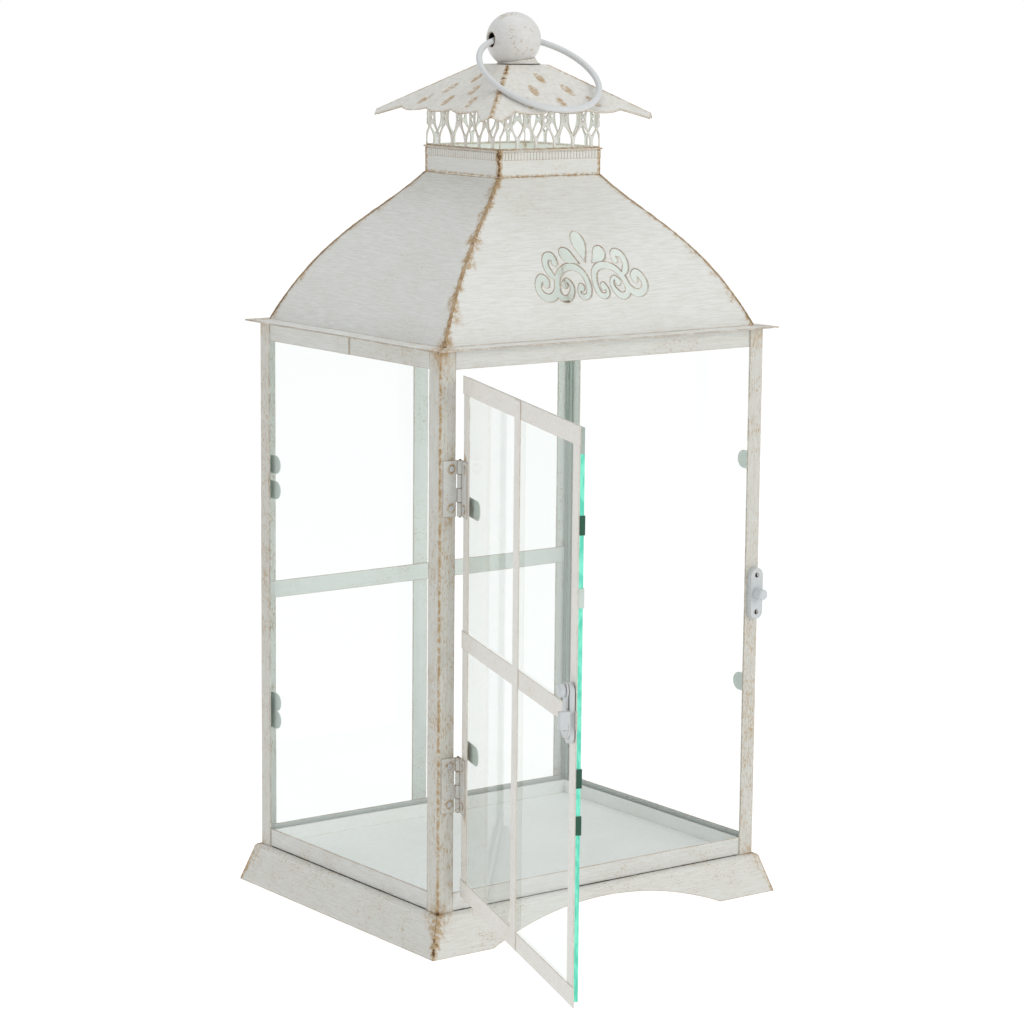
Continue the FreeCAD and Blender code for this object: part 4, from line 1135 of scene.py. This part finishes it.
def add_pane(node, face_material, edge_material, holes=()):
    """A pane with eased edges; the door's, with its rivet holes, has a bright free edge."""
    shape = node_mesh(node)
    widest = max(shape.faces, key=lambda face: face.calc_area())
    facing = widest.normal.copy()
    round_corners(shape, PANE_EASE)
    if holes:
        geometry = shape.verts[:] + shape.edges[:] + shape.faces[:]
        bmesh.ops.bisect_plane(shape, geom=geometry, dist=WELD, plane_no=UP,
                               plane_co=UP * LIT_EDGE_TOP)
    for face in shape.faces:
        middle = face.calc_center_median()
        at_hole = any((middle - hole).length < RIVET_HOLE_REACH for hole in holes)
        is_face = abs(face.normal.dot(facing)) >= 0.98 and face.calc_area() > PANE_THICKNESS ** 2
        if at_hole or is_face:
            continue
        lit = holes and middle.z < LIT_EDGE_TOP and face.normal.dot(DOOR_WIDTHWAYS) > 0.3
        face.material_index = 1 if lit else 2
    add_piece(node + "_pane", shape, [face_material, edge_material, "dull_edge"],
              BODY_OF[node], [node])


def add_door_clips():
    """The tabs that hold the door's pane; only one of the free edge's four wraps it."""
    node = "door_glass_clips"
    shape = node_mesh(node)
    round_corners(shape, 0.1 * MM)
    edge = max(vertex.co.dot(DOOR_WIDTHWAYS) for vertex in shape.verts)
    for face in shape.faces:
        middle = face.calc_center_median()
        at_edge = edge - middle.dot(DOOR_WIDTHWAYS) < EDGE_WRAP
        if at_edge and abs(middle.z - EDGE_CLIP) > EDGE_CLIP_REACH:
            face.material_index = 1
    add_piece("door_glass_clips_tabs", shape, ["clip_metal", "edge_shadow"], "door", [node])


# ---- Everything in its place ----------------------------------------------

SHEET_NODES = (
    "base_skirt_front", "base_skirt_back", "base_skirt_left", "base_skirt_right",
    "floor_tray", "post_front_left", "post_front_right", "post_back_left",
    "post_back_right", "bottom_rail_front", "bottom_rail_back", "bottom_rail_left",
    "bottom_rail_right", "top_rail_front", "top_rail_back", "top_rail_right",
    "top_rail_left_front_half", "top_rail_left_rear_half", "back_muntin_upright",
    "back_muntin_crossbar",
)
DOOR_STRIPS = ("door_hinge_stile", "door_latch_stile", "door_bottom_rail",
               "door_middle_rail", "door_top_rail", "door_muntin")
DOOR_DIRECTIONS = (DOOR_WIDTHWAYS, UP)
SCROLL_BOX = (Vector((-45, -120, 338)) * MM, Vector((45, 120, 390)) * MM)


def add_everything():
    note_grime()
    frame_rivets = add_rivets("hinge_rivets_frame", FRAME_OUTWARD, "frame")
    door_rivets = add_rivets("hinge_rivets_door", DOOR_OUTWARD, "door")
    for place in frame_rivets + door_rivets:
        grime_spot("rivet", place)
    for node in SHEET_NODES:
        reworked(node)
    for node in ("roof_panel_front", "roof_panel_back", "roof_panel_left", "roof_panel_right"):
        reworked(node, step=9.0 * MM, rounding=0.18 * MM, waviness=0.35 * MM,
                 untouched=SCROLL_BOX)
    reworked("collar", step=5.0 * MM, rounding=0.15 * MM, waviness=0.08 * MM)
    for node in ("gallery_front", "gallery_right", "gallery_back", "gallery_left"):
        reworked(node, step=20.0 * MM, rounding=0.12 * MM, waviness=0.1 * MM)
    add_reeded_band()
    add_solder_tacks()
    add_hip_seams()
    add_sill_gap_shadows()
    add_hat()
    reworked("finial_cup", step=3.0 * MM, rounding=0.1 * MM, waviness=0.0)
    add_cup_slit_shadow()
    add_ball()
    add_ring()
    for node in DOOR_STRIPS:
        reworked(node, rounding=0.12 * MM, waviness=0.08 * MM, across=DOOR_DIRECTIONS)
    for node in ("upper_hinge_frame_leaf", "lower_hinge_frame_leaf"):
        reworked(node, step=1.2 * MM, rounding=0.14 * MM, waviness=0.05 * MM,
                 across=(Vector((1, 0, 0)), UP), look="leaf_paint")
    for node in ("upper_hinge_door_leaf", "lower_hinge_door_leaf"):
        reworked(node, step=1.2 * MM, rounding=0.14 * MM, waviness=0.05 * MM,
                 across=DOOR_DIRECTIONS, look="leaf_paint")
    reworked("strike_plate", step=2.0 * MM, rounding=0.3 * MM, waviness=0.05 * MM)
    reworked("strike_stud", step=20.0 * MM, rounding=0.2 * MM, waviness=0.0)
    reworked("latch_plate", step=2.0 * MM, rounding=0.3 * MM, waviness=0.05 * MM,
             across=DOOR_DIRECTIONS)
    reworked("latch_pivot", step=20.0 * MM, rounding=0.2 * MM, waviness=0.0)
    reworked("latch_lever", step=2.0 * MM, rounding=0.25 * MM, waviness=0.05 * MM,
             across=DOOR_DIRECTIONS)
    reworked("glass_clips", step=30.0 * MM, rounding=0.1 * MM, waviness=0.0)
    add_door_clips()
    reworked("hinge_pins", step=50.0 * MM, rounding=0.12 * MM, waviness=0.0,
             look="stained_metal")
    for node in ("glass_left", "glass_right", "glass_back"):
        add_pane(node, "pane_glass", "dull_edge")
    add_pane("door_glass", "door_glass", "glass_edge", holes=door_rivets)


add_camera()
add_studio()
add_floor()
add_everything()
